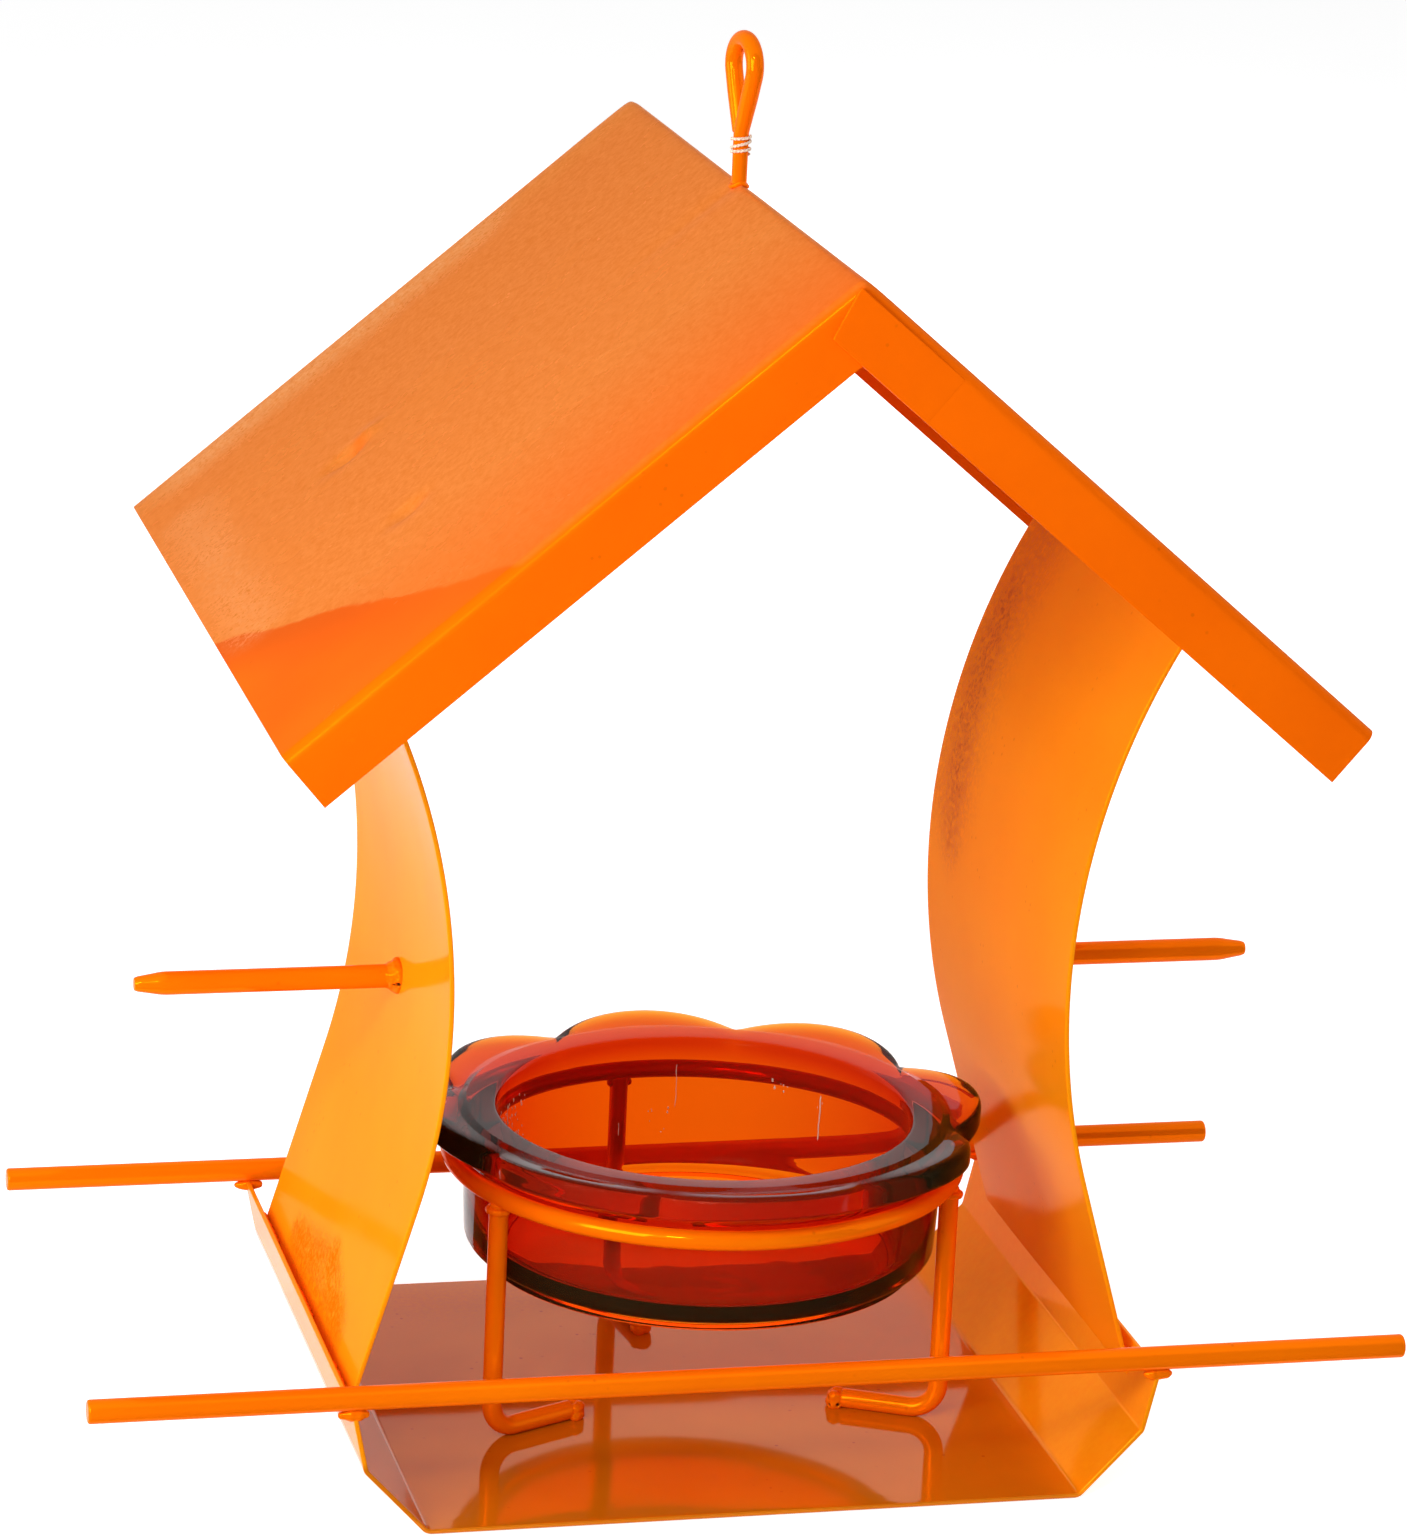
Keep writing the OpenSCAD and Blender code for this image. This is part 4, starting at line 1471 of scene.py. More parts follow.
@dataclass
class Rods(Part):
    """Perch rods along the tray and fruit spikes on the panels."""

    edge: float = 0.55
    sides: int = 48
    spike_r: float = 2.5
    tip_d: float = 3.0
    tip_edge: float = 0.5
    tip_round: float = 0.16
    taper: float = 6.0
    ease: float = 1.2
    ease_share: float = 0.2
    cone_share: float = 0.98
    cone: tuple[float, ...] = (4.2, 3.4, 2.4, 1.4, 0.8)
    root_share: float = 0.94
    root_len: float = 1.6
    perch_steps: int = 28
    shaft_steps: int = 12
    ease_steps: int = 6
    tip_steps: int = 4

    def build(self, shop: Shop) -> None:
        """Builds two perches and two spikes in the boxes of their nodes.

        Args:
            shop: shared trees and materials.
        """
        rods = [(f"{end.name.lower()}_perch", self.perch) for end in End]
        rods += [(f"{side.name.lower()}_fruit_spike", self.spike) for side in Side]
        for node, shape in rods:
            run, radius = shape(node)
            obj = shop.wire.sweep(f"{node}_rod", shop.finish.wire, [run], radius, self.sides)
            self.pieces.append(Piece(obj, shop.finish.wire, Slot.WIRE, (node,)))

    def perch(self, node: str) -> tuple[Run, float]:
        """One straight perch with eased ends.

        Args:
            node: frame node of the perch.

        Returns:
            The rod's path and radius.
        """
        low, high = box_mm(node)
        radius = (high.z - low.z) / 2
        mid = (low + high) / 2
        points = [Vector((x, mid.y, mid.z)) for x in spread(low.x, high.x, self.perch_steps)]
        return rounded_run(points, radius, self.edge), radius

    def spike(self, node: str) -> tuple[Run, float]:
        """One spike that tapers to a blunt end.

        Args:
            node: frame node of the spike.

        Returns:
            The rod's path and radius.
        """
        low, high = box_mm(node)
        tip, inward = (high.x, -1) if high.x > 0 else (low.x, 1)
        length, start = high.x - low.x, self.taper + self.ease
        blunt = self.tip_d / 2 / self.spike_r
        thin = 1 - blunt
        line = [(length, self.root_share)]
        line += [(d, 1.0) for d in spread(length - self.root_len, start, self.shaft_steps)]
        line += [(start - 2 * self.ease * t, 1 - thin * self.ease_share * t ** 2)
                 for t in spread(0, 1, self.ease_steps)[1:]]
        line += [(d, blunt + thin * d / self.taper * self.cone_share) for d in self.cone]
        line += [(self.tip_edge * (1 - s), blunt - self.tip_round * (1 - c))
                 for c, s in map(cos_sin, spread(0, 90, self.tip_steps))]
        return [(tip + d * inward, 0.0, low.z + self.spike_r, share) for d, share in line], self.spike_r


@dataclass
class Stand(Part):
    """The wire ring that holds the bowl, on three bent legs."""

    ring_r: float = 54.6
    ring_z: float = 56.0
    wire: float = 4.2
    sides: int = 36
    edge: float = 0.5
    tuck: float = 1.2
    bend_r: float = 6.0
    foot_z: float = 3.1
    foot_len: float = 21.0
    leg_steps: int = 14
    bend_steps: int = 12
    foot_steps: int = 8
    ring_steps: int = 160
    legs: tuple[tuple[str, float], ...] = (("rear", 97.0), ("left", 205.0), ("right", 333.0))

    @staticmethod
    def at(angle: float, radius: float, z: float) -> Vector:
        """A point by its direction and distance from the stand's axis."""
        c, s = cos_sin(angle)
        return Vector((BOWL_X + radius * c, radius * s, z))

    def leg_points(self, angle: float) -> list[Vector]:
        """Axis of a leg from under the ring to the foot's end.

        Args:
            angle: direction of the leg.

        Returns:
            Points along the wire.
        """
        bend_z = self.foot_z + self.bend_r
        line = [(self.ring_r, z) for z in spread(self.ring_z - self.tuck, bend_z, self.leg_steps)]
        line += [(self.ring_r - self.bend_r * (1 - c), bend_z - self.bend_r * s)
                 for c, s in map(cos_sin, spread(0, 90, self.bend_steps)[1:])]
        reach = spread(self.ring_r - self.bend_r, self.ring_r - self.foot_len, self.foot_steps)
        line += [(r, self.foot_z) for r in reach[1:]]
        return [self.at(angle, r, z) for r, z in line]

    def build(self, shop: Shop) -> None:
        """Builds the ring and its legs.

        Args:
            shop: shared trees and materials.
        """
        ring = [(*self.at(a, self.ring_r, self.ring_z), 1.0) for a in spread(0, 360, self.ring_steps)[:-1]]
        wires = [("stand_ring_wire", "stand_ring", ring)]
        for name, angle in self.legs:
            run = rounded_run(self.leg_points(angle), self.wire / 2, self.edge)
            wires.append((f"{name}_leg_wire", f"stand_leg_{name}", run))
        for name, node, run in wires:
            obj = shop.wire.sweep(name, shop.finish.wire, [run], self.wire / 2, self.sides,
                                  cyclic=run is ring)
            self.pieces.append(Piece(obj, shop.finish.wire, Slot.WIRE, (node,)))


@dataclass
class GlassBowl(Part):
    """The pressed glass bowl with eight round petals, and what has dried on its inner wall."""

    petals: int = 8
    turn: float = 1.5
    lobe_at: float = 35.0
    lobe_r: float = 26.5
    notch_r: float = 55.2
    petal_steps: int = 24
    merge: float = 0.01
    common: tuple[Corner, ...] = ((0.0, 34.0, 0.0), (42.5, 34.0, 0.3), (42.5, 33.0, 0.5), (47.5, 33.0, 0.7),
                                  (47.5, 34.75, 0.25), (51.03, 36.36, 5.6), (51.95, 56.4, 0.9))
    petal: tuple[Corner, ...] = ((54.3, 59.0, 1.4), (61.45, 62.9, 1.6), (61.45, 68.0, 2.2), (53.4, 66.2, 1.2))
    notch: tuple[Corner, ...] = ((53.2, 58.2, 1.0), (55.0, 60.2, 1.0), (55.0, 65.0, 1.8), (52.6, 65.7, 0.6))
    mouth: tuple[Corner, ...] = ((51.4, 66.5, 0.7), (44.8, 66.0, 1.5), (43.55, 36.7, 3.4), (0.0, 36.7, 0.0))
    # first and last direction in degrees, lowest and highest place
    patches: tuple[PathPoint, ...] = (
        (39.0, 41.5, 53.0, 57.0), (49.0, 56.0, 54.5, 58.5),
        (138.0, 172.0, 50.0, 61.0), (86.0, 92.0, 44.0, 50.0))
    # direction in degrees, top, foot and radius
    runs: tuple[PathPoint, ...] = (
        (40.0, 57.0, 46.5, 0.2), (84.0, 60.0, 50.0, 0.11), (101.0, 47.0, 44.0, 0.1),
        (150.0, 60.0, 50.0, 0.14), (156.0, 58.0, 47.5, 0.18), (162.0, 59.0, 49.0, 0.14))
    run_steps: int = 24
    run_sides: int = 10
    run_sway: tuple[float, float] = (0.006, 0.35)
    run_swell: tuple[float, float, float] = (0.75, 0.5, 0.9)
    run_least: float = 0.15
    patch_step: float = 4.0
    drop_density: float = 300000.0
    drop_r: float = 0.3
    drop_stretch: float = 1.7
    drop_seed: int = 11

    @staticmethod
    def eased(corners: Sequence[Corner], steps: int = 6, cut: int = 3, most: float = 0.48) -> list[Point]:
        """A section's outline with its corners rounded.

        Args:
            corners: radius, height and rounding of each corner, along the outline.
            steps: points in each rounding.
            cut: parts into which the straight runs are divided.
            most: share of a straight run that a rounding may take up.

        Returns:
            Points in the X Z plane.
        """
        stops: list[list[Vector]] = []
        for k, (x, z, r) in enumerate(corners):
            here = Vector((x, z))
            if not r:
                stops.append([here])
                continue
            before, after = (Vector(corners[i][:2]) - here for i in (k - 1, k + 1))
            half = before.angle(after) / 2
            back = min(r / math.tan(half), most * before.length if k > 1 else r, most * after.length)
            a, b = here + before.normalized() * back, here + after.normalized() * back
            stops.append([a.lerp(here, t).lerp(here.lerp(b, t), t) for t in spread(0, 1, steps)])
        line: list[Vector] = []
        for first, second in zip(stops, stops[1:]):
            line += first + [first[-1].lerp(second[0], t / cut) for t in range(1, cut)]
        return [(p.x, 0.0, p.y) for p in line + stops[-1]]

    def build(self, shop: Shop) -> None:
        """Builds the bowl and the drops and runs dried on its inner wall.

        Args:
            shop: shared trees and materials.
        """
        petal, notch = (self.eased(self.common + rim + self.mouth) for rim in (self.petal, self.notch))
        bowl = shop.petal.grow("amber_bowl", shop.finish.glass, {
            "Petal Section": add_object("petal_section", petal, []),
            "Notch Section": add_object("notch_section", notch, []), "Section Points": len(petal),
            "Turn Points": self.petals * self.petal_steps + 1, "Petals": float(self.petals),
            "Turn": math.radians(self.turn), "Lobe Centre": self.lobe_at * MM,
            "Lobe Radius": self.lobe_r * MM, "Notch Radius": self.notch_r * MM,
            "Axis": (BOWL_X * MM, 0.0, 0.0)})
        outward(bowl, self.merge)
        self.pieces.append(Piece(bowl, shop.finish.glass, Slot.GLASS, ("glass_bowl",), Body.BOWL))
        for obj in (self.drops(shop), self.dried_runs(shop)):
            self.pieces.append(Piece(obj, shop.finish.dried, Slot.GLASS, (), Body.BOWL))

    def on_wall(self, turn: float, z: float) -> Point:
        """A point of the inner wall.

        Args:
            turn: direction from the bowl's axis, in radians.
            z: height.

        Returns:
            The point, in millimetres.
        """
        low, high = self.mouth[2], self.mouth[1]
        r = low[0] + (high[0] - low[0]) * (z - low[1]) / (high[1] - low[1])
        return BOWL_X + r * math.cos(turn), r * math.sin(turn), z

    def dried_runs(self, shop: Shop) -> Object:
        """Thin dried runs down the inner wall.

        Args:
            shop: shared trees and materials.

        Returns:
            The new object.
        """
        paths, (swing, bends), (mean, more, lumps) = [], self.run_sway, self.run_swell
        for angle, top, low, r in self.runs:
            path = []
            for k, z in enumerate(spread(top, low, self.run_steps)):
                sway = swing * ripple(z * bends, angle, 0.0)
                swell = mean + more * ripple(z * lumps, angle, 5.0) if 0 < k < self.run_steps else 0.0
                path.append((*self.on_wall(math.radians(angle) + sway, z), r * max(self.run_least, swell)))
            paths.append(path)
        return shop.wire.sweep("dried_runs", shop.finish.dried, paths, 1.0, self.run_sides)

    def drops(self, shop: Shop) -> Object:
        """Dried drops on the upper inner wall.

        Args:
            shop: shared trees and materials.

        Returns:
            The new object.
        """
        points, faces = [], []
        for first, last, low, high in self.patches:
            base = len(points)
            steps = max(2, round(abs(last - first) / self.patch_step))
            for turn in spread(math.radians(first), math.radians(last), steps):
                points += [self.on_wall(turn, z) for z in (low, high)]
            faces += [(k, k + 1, k + 3, k + 2) for k in range(base, base + 2 * steps, 2)]
        return shop.drops.grow("dried_drops", shop.finish.dried, {
            "Wall": add_object("wall_patch", points, faces), "Drops Per Area": self.drop_density,
            "Drop Radius": self.drop_r * MM, "Stretch": self.drop_stretch, "Seed": self.drop_seed})


@dataclass
class HangingLoop(Part):
    """The teardrop loop of wire on the ridge, with a thread tied round its neck."""

    wire: float = 3.2
    sides: int = 32
    edge: float = 0.45
    foot_z: float = 267.0
    kink_z: float = 277.4
    kink_r: float = 3.0
    kink: float = 22.7
    eye_r: float = 5.3
    side_len: float = 12.06
    tail_len: float = 12.6
    stem_steps: int = 8
    kink_steps: int = 8
    side_steps: int = 8
    eye_steps: int = 44
    tail_steps: int = 6
    swell: float = 0.15
    swell_len: float = 8.0
    turn: float = -80.0
    coil_r: float = 1.9
    coil_lift: float = 0.3
    pitch: float = 1.3
    turns: float = 3.0
    steps: int = 220
    sways: tuple[tuple[float, float, float], ...] = ((0.3, 0.5, 0.7), (0.25, 1.0, 2.4))
    strand: float = 0.21
    strand_sides: int = 10
    strand_end: float = 0.55
    strands: int = 2
    twist: float = 1.5
    twist_r: float = 0.14

    def axis(self) -> list[Vector]:
        """The wire's axis from the ridge round the eye to the tail's end.

        Returns:
            Points along the wire.
        """
        ahead, up = Vector((*cos_sin(self.turn), 0)), Vector((0, 0, 1))
        points = [Vector((0, 0, z)) for z in spread(self.foot_z, self.kink_z, self.stem_steps)]
        bend = points[-1] + ahead * self.kink_r
        points += arc(bend, -ahead, up, self.kink_r, self.kink, self.kink_steps)[1:]
        level, lean = cos_sin(self.kink)
        heading, across = lean * ahead + level * up, level * ahead - lean * up
        points += [points[-1] + heading * d for d in spread(0, self.side_len, self.side_steps)[1:]]
        eye = points[-1] - across * self.eye_r
        points += arc(eye, across, heading, self.eye_r, 180 + 2 * self.kink, self.eye_steps)[1:]
        last = (points[-1] - points[-2]).normalized()
        return points + [points[-1] + last * d for d in spread(0, self.tail_len, self.tail_steps)[1:]]

    def build(self, shop: Shop) -> None:
        """Builds the loop and its thread.

        Args:
            shop: shared trees and materials.
        """
        run = [(x, y, z, share * (1 + self.swell * clip((z - self.kink_z) / self.swell_len)))
               for x, y, z, share in rounded_run(self.axis(), self.wire / 2, self.edge)]
        loop = shop.wire.sweep("loop_wire", shop.finish.wire, [run], self.wire / 2, self.sides)
        self.pieces.append(Piece(loop, shop.finish.wire, Slot.WIRE, ("hanging_loop",)))
        foot = box_mm("tie_thread")[0].z + self.coil_lift
        runs = [self.strand_run(foot, k) for k in range(self.strands)]
        thread = shop.wire.sweep("thread_winding", shop.finish.thread, runs, self.strand, self.strand_sides)
        self.pieces.append(Piece(thread, shop.finish.thread, Slot.THREAD, ("tie_thread",)))

    def strand_run(self, foot: float, number: int) -> Run:
        """One strand of the twisted thread.

        Args:
            foot: height of the winding's start.
            number: number of the strand.

        Returns:
            Path points with the share of the radius at each.
        """
        up = Vector((0, 0, 1))
        rolls = self.turns * 2 * math.pi * self.coil_r / self.twist
        run = []
        for k in range(self.steps + 1):
            share = k / self.steps
            a = 2 * math.pi * self.turns * share
            out = Vector((math.cos(a), math.sin(a), 0))
            sway = sum(h * math.sin(a * rate + start) for h, rate, start in self.sways)
            sway *= math.sin(math.pi * share)
            place = out * self.coil_r + up * (foot + self.pitch * self.turns * share + sway)
            roll = 2 * math.pi * (share * rolls + number / self.strands)
            place += self.twist_r * (math.cos(roll) * out + math.sin(roll) * up)
            run.append((*place, 1.0 if 0 < k < self.steps else self.strand_end))
        return run


@dataclass(frozen=True)
class Bead:
    """How a node's beads are laid: the skin's voxel, the nuggets' distance and the seed."""

    voxel: float
    step: float
    seed: int


@dataclass
class Welds(Part):
    """Lumpy painted weld beads at every joint."""

    stand: Stand
    uneven: float = 0.16
    lumps: float = 0.4
    flange_x: float = 85.8
    perch_y: float = 67.0
    perch_z: float = 26.95
    perch_nuggets: tuple[tuple[float, float], ...] = (
        (-2.6, 0.8), (-1.3, 1.25), (0.0, 1.4), (1.3, 1.25), (2.4, 0.8))
    seam_places: tuple[float, ...] = (-44.0, 0.0, 44.0)
    seam_half: float = 9.0
    roof_seam: Corner = (91.15, 189.35, 0.85)
    tray_seam: Corner = (84.4, 25.2, 0.72)
    spike_z: float = 98.0
    collar_swell: float = 0.14
    collar_waves: int = 3
    collar_start: float = 40.0
    collar_stop: float = 345.0
    collar_steps: int = 23
    seam_steps: int = 10
    leg_steps: int = 12
    foot_steps: int = 12
    saddle_steps: int = 24
    collars: tuple[Corner, ...] = (
        (66.3, 2.9, 0.95), (66.9, 2.5, 1.0), (67.7, 2.1, 0.95),
        (68.6, 1.8, 0.85), (69.6, 1.7, 0.72), (70.6, 1.65, 0.6))
    collar_pits: tuple[PathPoint, ...] = (
        (-66.9, -3.7, 96.9, 0.75), (-67.9, -3.4, 96.6, 0.45), (67.0, -3.6, 98.8, 0.6))
    leg_z: float = 53.1
    leg_round: float = 2.15
    leg_nugget: float = 0.82
    leg_arc: float = 95.0
    pit_depth: float = 0.9
    pit_dark: float = 1.5
    foot_arc: tuple[float, float] = (80.0, 280.0)
    foot_nuggets: tuple[tuple[float, float], ...] = ((2.1, 1.35), (3.5, 1.3))
    foot_round: float = 1.25
    foot_past: float = 0.9
    pits_past: float = 3.2
    foot_pits: tuple[PathPoint, ...] = (
        (329.0, 0.0, 3.6, 0.6), (325.0, 0.0, 1.8, 0.5), (327.0, 4.0, 2.2, 0.6), (208.0, 0.0, 2.0, 0.6))
    saddle_half: tuple[float, float] = (1.75, 1.6)
    saddle_z: float = 268.3
    saddle_nugget: float = 0.55

    def bead(self, shop: Shop, node: str, laid: Bead, runs: list[Run],
             pits: Sequence[PathPoint] = ()) -> None:
        """Lays beads and fuses them into one skin.

        Args:
            shop: shared trees and materials.
            node: frame node that the beads stand for.
            laid: how the beads are laid.
            runs: paths whose points carry the nugget's radius in millimetres.
            pits: places and radii of pinholes.
        """
        scaled = [[(x, y, z, r * MM) for x, y, z, r in run] for run in runs]
        obj = shop.bead.grow(f"{node}_beads", shop.finish.weld, {
            "Path": path_object(scaled), "Step": laid.step * MM, "Unevenness": self.uneven,
            "Lump Height": self.lumps * MM, "Seed": laid.seed}, laid.voxel)
        outward(obj)
        self.pit(obj, pits)
        self.pieces.append(Piece(obj, shop.finish.weld, Slot.WELD, (node,)))

    def pit(self, obj: Object, pits: Sequence[PathPoint]) -> None:
        """Sinks shallow pinholes into a bead and marks them for the finish's painted shade.

        Args:
            obj: the bead.
            pits: places and radii of pinholes.
        """
        dark = [0.0] * len(obj.data.vertices)
        for x, y, z, size in pits:
            centre = Vector((x, y, z)) * MM
            near = min(obj.data.vertices, key=lambda v: (v.co - centre).length)
            middle, inward = near.co.copy(), near.normal.copy()
            for v in obj.data.vertices:
                far = (v.co - middle).length / (size * MM)
                if far < 1:
                    v.co -= inward * size * self.pit_depth * MM * (1 - far * far)
                    dark[v.index] = max(dark[v.index], min(1.0, self.pit_dark * (1 - far)))
        mark(obj, PIT, dark)

    def build(self, shop: Shop) -> None:
        """Builds the beads node by node.

        Args:
            shop: shared trees and materials.
        """
        signs = (-1, 1)
        legs = [angle for _, angle in self.stand.legs]
        perches = [[(s * (self.flange_x + dx), y * self.perch_y, self.perch_z, r)
                    for dx, r in self.perch_nuggets] for s in signs for y in signs]
        collars = [self.collar(s, *ring) for s in signs for ring in self.collars]
        inner = self.stand.ring_r - self.stand.foot_len - self.pits_past
        pits = [(*self.stand.at(a, inner + d, z), r) for a, d, z, r in self.foot_pits]
        self.bead(shop, "perch_welds", Bead(0.24, 0.7, 4), perches)
        self.bead(shop, "spike_welds", Bead(0.2, 0.8, 7), collars, self.collar_pits)
        self.bead(shop, "roof_panel_welds", Bead(0.3, 0.9, 12), self.seams(*self.roof_seam))
        self.bead(shop, "tray_panel_welds", Bead(0.28, 0.9, 15), self.seams(*self.tray_seam))
        self.bead(shop, "leg_welds", Bead(0.2, 0.6, 21), [self.half_ring(a) for a in legs])
        self.bead(shop, "foot_welds", Bead(0.2, 0.7, 27), [self.foot(a) for a in legs], pits)
        self.bead(shop, "loop_weld", Bead(0.2, 0.7, 33), [self.saddle()])

    def collar(self, side: int, x: float, r: float, nugget: float) -> Run:
        """Path round a spike's root.

        Args:
            side: sign of X.
            x: distance from the feeder's middle.
            r: radius of the path.
            nugget: mean radius of the nuggets.

        Returns:
            Path points with the nugget's radius at each.
        """
        run = []
        for a in spread(0, self.collar_stop, self.collar_steps):
            c, s = cos_sin(a)
            swell = self.collar_swell * cos_sin(self.collar_waves * a + self.collar_start * side)[1]
            run.append((side * x, r * c, self.spike_z + r * s, nugget * (1 + swell)))
        return run

    def seams(self, x: float, z: float, r: float) -> list[Run]:
        """Straight runs of nuggets along both panels' edges."""
        half = self.seam_half - r
        return [[(s * x, y + d, z, r) for d in spread(-half, half, self.seam_steps)]
                for s in (-1, 1) for y in self.seam_places]

    @staticmethod
    def around(centre: Vector, radius: float, angles: Iterable[float], nugget: float) -> Run:
        """Path round an upright axis."""
        turns = map(cos_sin, angles)
        return [(centre.x + radius * c, centre.y + radius * s, centre.z, nugget) for c, s in turns]

    def half_ring(self, angle: float) -> Run:
        """Path round the outer half of a leg, under the ring."""
        leg, turn = self.stand.at(angle, self.stand.ring_r, self.leg_z), self.leg_arc
        return self.around(leg, self.leg_round, spread(angle - turn, angle + turn, self.leg_steps),
                           self.leg_nugget)

    def foot(self, angle: float) -> Run:
        """Path round a foot's end, there and back.

        Args:
            angle: direction of the leg.

        Returns:
            Path points with the nugget's radius at each.
        """
        run, angles = [], spread(angle + self.foot_arc[0], angle + self.foot_arc[1], self.foot_steps)
        for z, r in self.foot_nuggets:
            stop = self.stand.at(angle, self.stand.ring_r - self.stand.foot_len - self.foot_past, z)
            run += self.around(stop, self.foot_round, angles, r)
            angles = angles[::-1]
        return run

    def saddle(self) -> Run:
        """Path round the loop's stem, astride the ridge.

        Returns:
            Path points with the nugget's radius at each.
        """
        steep = math.tan(math.radians(PITCH))
        run = []
        for c, s in map(cos_sin, spread(0, 360, self.saddle_steps)):
            x, y = self.saddle_half[0] * c, self.saddle_half[1] * s
            run.append((x, y, self.saddle_z - steep * math.hypot(x, RIDGE_ROUND), self.saddle_nugget))
        return run


@dataclass(frozen=True)
class Lamp:
    """A square soft lamp, in metres and watts; glossy surfaces may mirror the lamp itself."""

    name: str
    place: Point
    aim: Point
    size: float
    power: float
    mirrored: bool = True

    def hang(self) -> None:
        """Adds the lamp to the scene."""
        data = bpy.data.lights.new(self.name, "AREA")
        data.energy, data.size = self.power, self.size
        obj = bpy.data.objects.new(self.name, data)
        bpy.context.scene.collection.objects.link(obj)
        turn = (Vector(self.place) - Vector(self.aim)).to_track_quat("Z", "Y")
        obj.matrix_world = Matrix.Translation(self.place) @ turn.to_matrix().to_4x4()
        obj.visible_glossy = self.mirrored


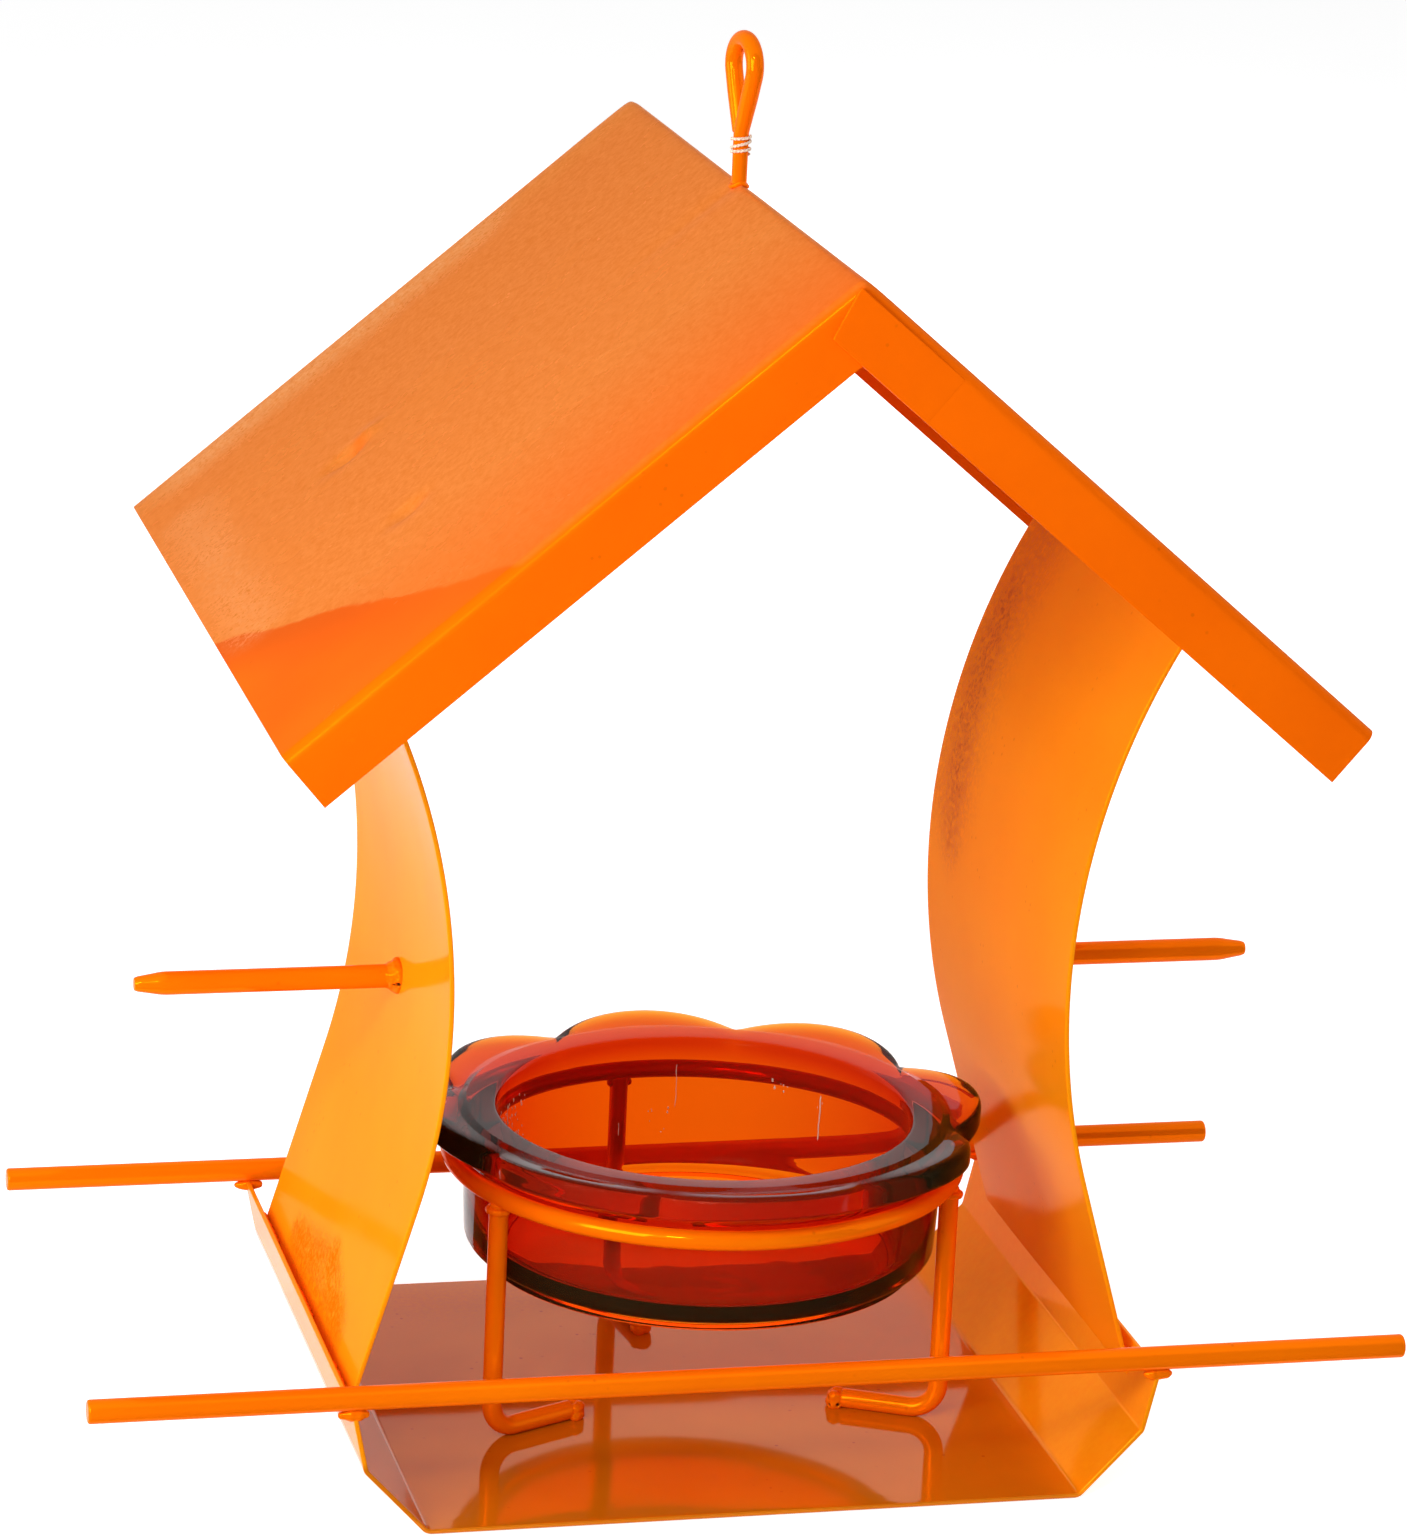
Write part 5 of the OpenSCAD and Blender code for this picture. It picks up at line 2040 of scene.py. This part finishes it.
@dataclass
class Studio:
    """Pale floor, soft light and the camera."""

    azimuth: float = 14.39
    elevation: float = 16.46
    roll: float = 2.70
    distance: float = 1208.0
    target: Point = (0.0, 0.0, 135.2)
    focal_px: float = 5696.0
    offset_px: tuple[float, float] = (6.4, 31.0)
    image: tuple[int, int] = (1407, 1536)
    sensor: float = 36.0
    floor_half: float = 9.0
    floor_z: float = -0.2
    floor_tones: Band = (0.8, 0.84)
    floor_grain: float = 4.0
    floor_rough: float = 0.9
    floor_glow: float = 0.66
    ambient: float = 0.45
    zenith: float = 0.32
    sky_band: tuple[float, float] = (0.05, 0.75)
    card_size: tuple[float, float] = (4000.0, 3000.0)
    card_y: float = -2.6
    card_foot: float = -0.074
    card_lift: float = 0.4
    card_tones: Band = (0.095, 0.105)
    card_grain: float = 2.0
    card_rough: float = 0.95
    lamps: tuple[Lamp, ...] = (
        Lamp("key_lamp", (-0.52, -0.44, 0.34), (0, 0, 0.13), 0.36, 3.6),
        Lamp("side_lamp", (-1.2, 0.15, 0.35), (0, 0, 0.13), 0.5, 2.6),
        Lamp("front_lamp", (-0.6, -1.1, 0.8), (0, 0, 0.08), 0.5, 1.8),
        Lamp("spark_lamp", (-0.5, -1.1, 1.0), (0, 0, 0.1), 0.16, 2.6),
        Lamp("fill_lamp", (1.3, 0.3, 0.8), (0, 0, 0.13), 0.7, 9.0, False),
        Lamp("rear_lamp", (0.3, 1.4, 0.5), (0, 0, 0.13), 0.7, 3.5, False))

    def camera(self) -> None:
        """Places the camera at the photograph's viewing angle."""
        (ca, sa), (ce, se), (cr, sr) = map(cos_sin, (self.azimuth, self.elevation, self.roll))
        back = Vector((-sa * ce, -ca * ce, se))
        right = (-back).cross(Vector((0, 0, 1))).normalized()
        up = right.cross(-back)
        across, above = right * cr + up * sr, up * cr - right * sr
        data = bpy.data.cameras.new("camera")
        longest = max(self.image)
        data.sensor_width = self.sensor
        data.lens = self.focal_px * self.sensor / longest
        data.shift_x = -self.offset_px[0] / longest
        data.shift_y = self.offset_px[1] / longest
        obj = bpy.data.objects.new("camera", data)
        bpy.context.scene.collection.objects.link(obj)
        axes = Matrix((across, above, back)).transposed().to_4x4()
        obj.matrix_world = Matrix.Translation((Vector(self.target) + back * self.distance) * MM) @ axes
        bpy.context.scene.camera = obj

    @staticmethod
    def matte(name: str, scale: float, tones: tuple[float, float], rough: float) -> WiredMaterial:
        """A plain surface with a faint grain.

        Args:
            name: name of the material.
            scale: scale of the grain.
            tones: darkest and palest tone.
            rough: roughness.

        Returns:
            The material with its node tree.
        """
        wired = WiredMaterial(name)
        wired.feed(Base_Color=wired.ramp(wired.noise(wired.coords, scale), 0.0, 1.0, *tones), Roughness=rough)
        return wired

    def floor(self) -> None:
        """Lays a large pale floor that keeps the shadow and is clear from below."""
        h, z = self.floor_half / MM, self.floor_z
        obj = add_object("studio_floor", [(-h, -h, z), (h, -h, z), (h, h, z), (-h, h, z)], [(0, 1, 2, 3)])
        wired = self.matte("studio_floor_white", self.floor_grain, self.floor_tones, self.floor_rough)
        wired.feed(Specular_IOR_Level=0.0)
        strength = self.seen(wired, self.floor_glow)
        glow = wired.node("ShaderNodeEmission", {"Color": (1, 1, 1, 1), "Strength": strength})
        both = wired.node("ShaderNodeAddShader", {0: wired.shader.outputs[0], 1: glow.outputs[0]})
        under = wired.node("ShaderNodeNewGeometry").outputs["Backfacing"]
        clear = wired.node("ShaderNodeBsdfTransparent").outputs[0]
        either = wired.node("ShaderNodeMixShader", {0: under, 1: both.outputs[0], 2: clear})
        wired.wire(either.outputs[0], wired.output.inputs["Surface"])
        obj.data.materials.append(wired.material)

    def card(self) -> None:
        """Stands a dark card with a foot in front, for the paint and the glass to mirror."""
        w, h = self.card_size
        y, foot, z = self.card_y / MM, self.card_foot / MM, self.card_lift
        corners = [(-w, foot, z), (w, foot, z), (w, y, z), (-w, y, z), (w, y, h), (-w, y, h)]
        obj = add_object("front_card", corners, [(0, 3, 2, 1), (3, 5, 4, 2)])
        grey = self.matte("front_card_grey", self.card_grain, self.card_tones, self.card_rough)
        obj.data.materials.append(grey.material)
        obj.visible_camera = False
        obj.visible_diffuse = False
        obj.visible_shadow = False
        obj.visible_transmission = False

    @staticmethod
    def seen(tree: Tree, strength: float) -> Socket:
        """A strength for rays that show the background, and none for light on the object.

        Args:
            tree: node tree of a material or the world.
            strength: value for camera, glossy and transmission rays.

        Returns:
            Socket of the strength.
        """
        path = tree.node("ShaderNodeLightPath").outputs
        either = tree.plus(path["Is Camera Ray"], path["Is Glossy Ray"])
        return tree.times(tree.plus(either, path["Is Transmission Ray"], clamp=True), strength)

    def world(self) -> None:
        """Soft white surroundings: plain white where they show, dimmer as light."""
        world = bpy.data.worlds.new("studio_world")
        world.use_nodes = True
        bpy.context.scene.world = world
        wired = Tree(world.node_tree)
        ground = world.node_tree.nodes["Background"]
        ground.inputs["Color"].default_value = (1, 1, 1, 1)
        sight = wired.node("ShaderNodeTexCoord").outputs["Generated"]
        above = wired.node("ShaderNodeSeparateXYZ", {0: sight})
        light = wired.ramp(above.outputs[2], *self.sky_band, self.ambient, self.zenith)
        wired.wire(wired.maths("MAXIMUM", self.seen(wired, 1.0), light), ground.inputs["Strength"])

    def build(self) -> None:
        """Sets the whole studio up."""
        bpy.context.scene.view_settings.view_transform = "Standard"
        self.camera()
        self.floor()
        self.world()
        self.card()
        for lamp in self.lamps:
            lamp.hang()


def main() -> None:
    """Builds the feeder, then the studio."""
    logging.basicConfig(level=logging.INFO, format="%(name)s %(message)s")
    shop, stand = Shop(), Stand()
    parts = [Roof(), SidePanel(Side.LEFT), SidePanel(Side.RIGHT), Tray(), Rods(), stand, GlassBowl(),
             HangingLoop(), Welds(stand)]
    for part in parts:
        part.build(shop)
        part.dress()
        LOG.info("%s done", type(part).__name__)
    Studio().build()


if __name__ == "__main__":
    main()
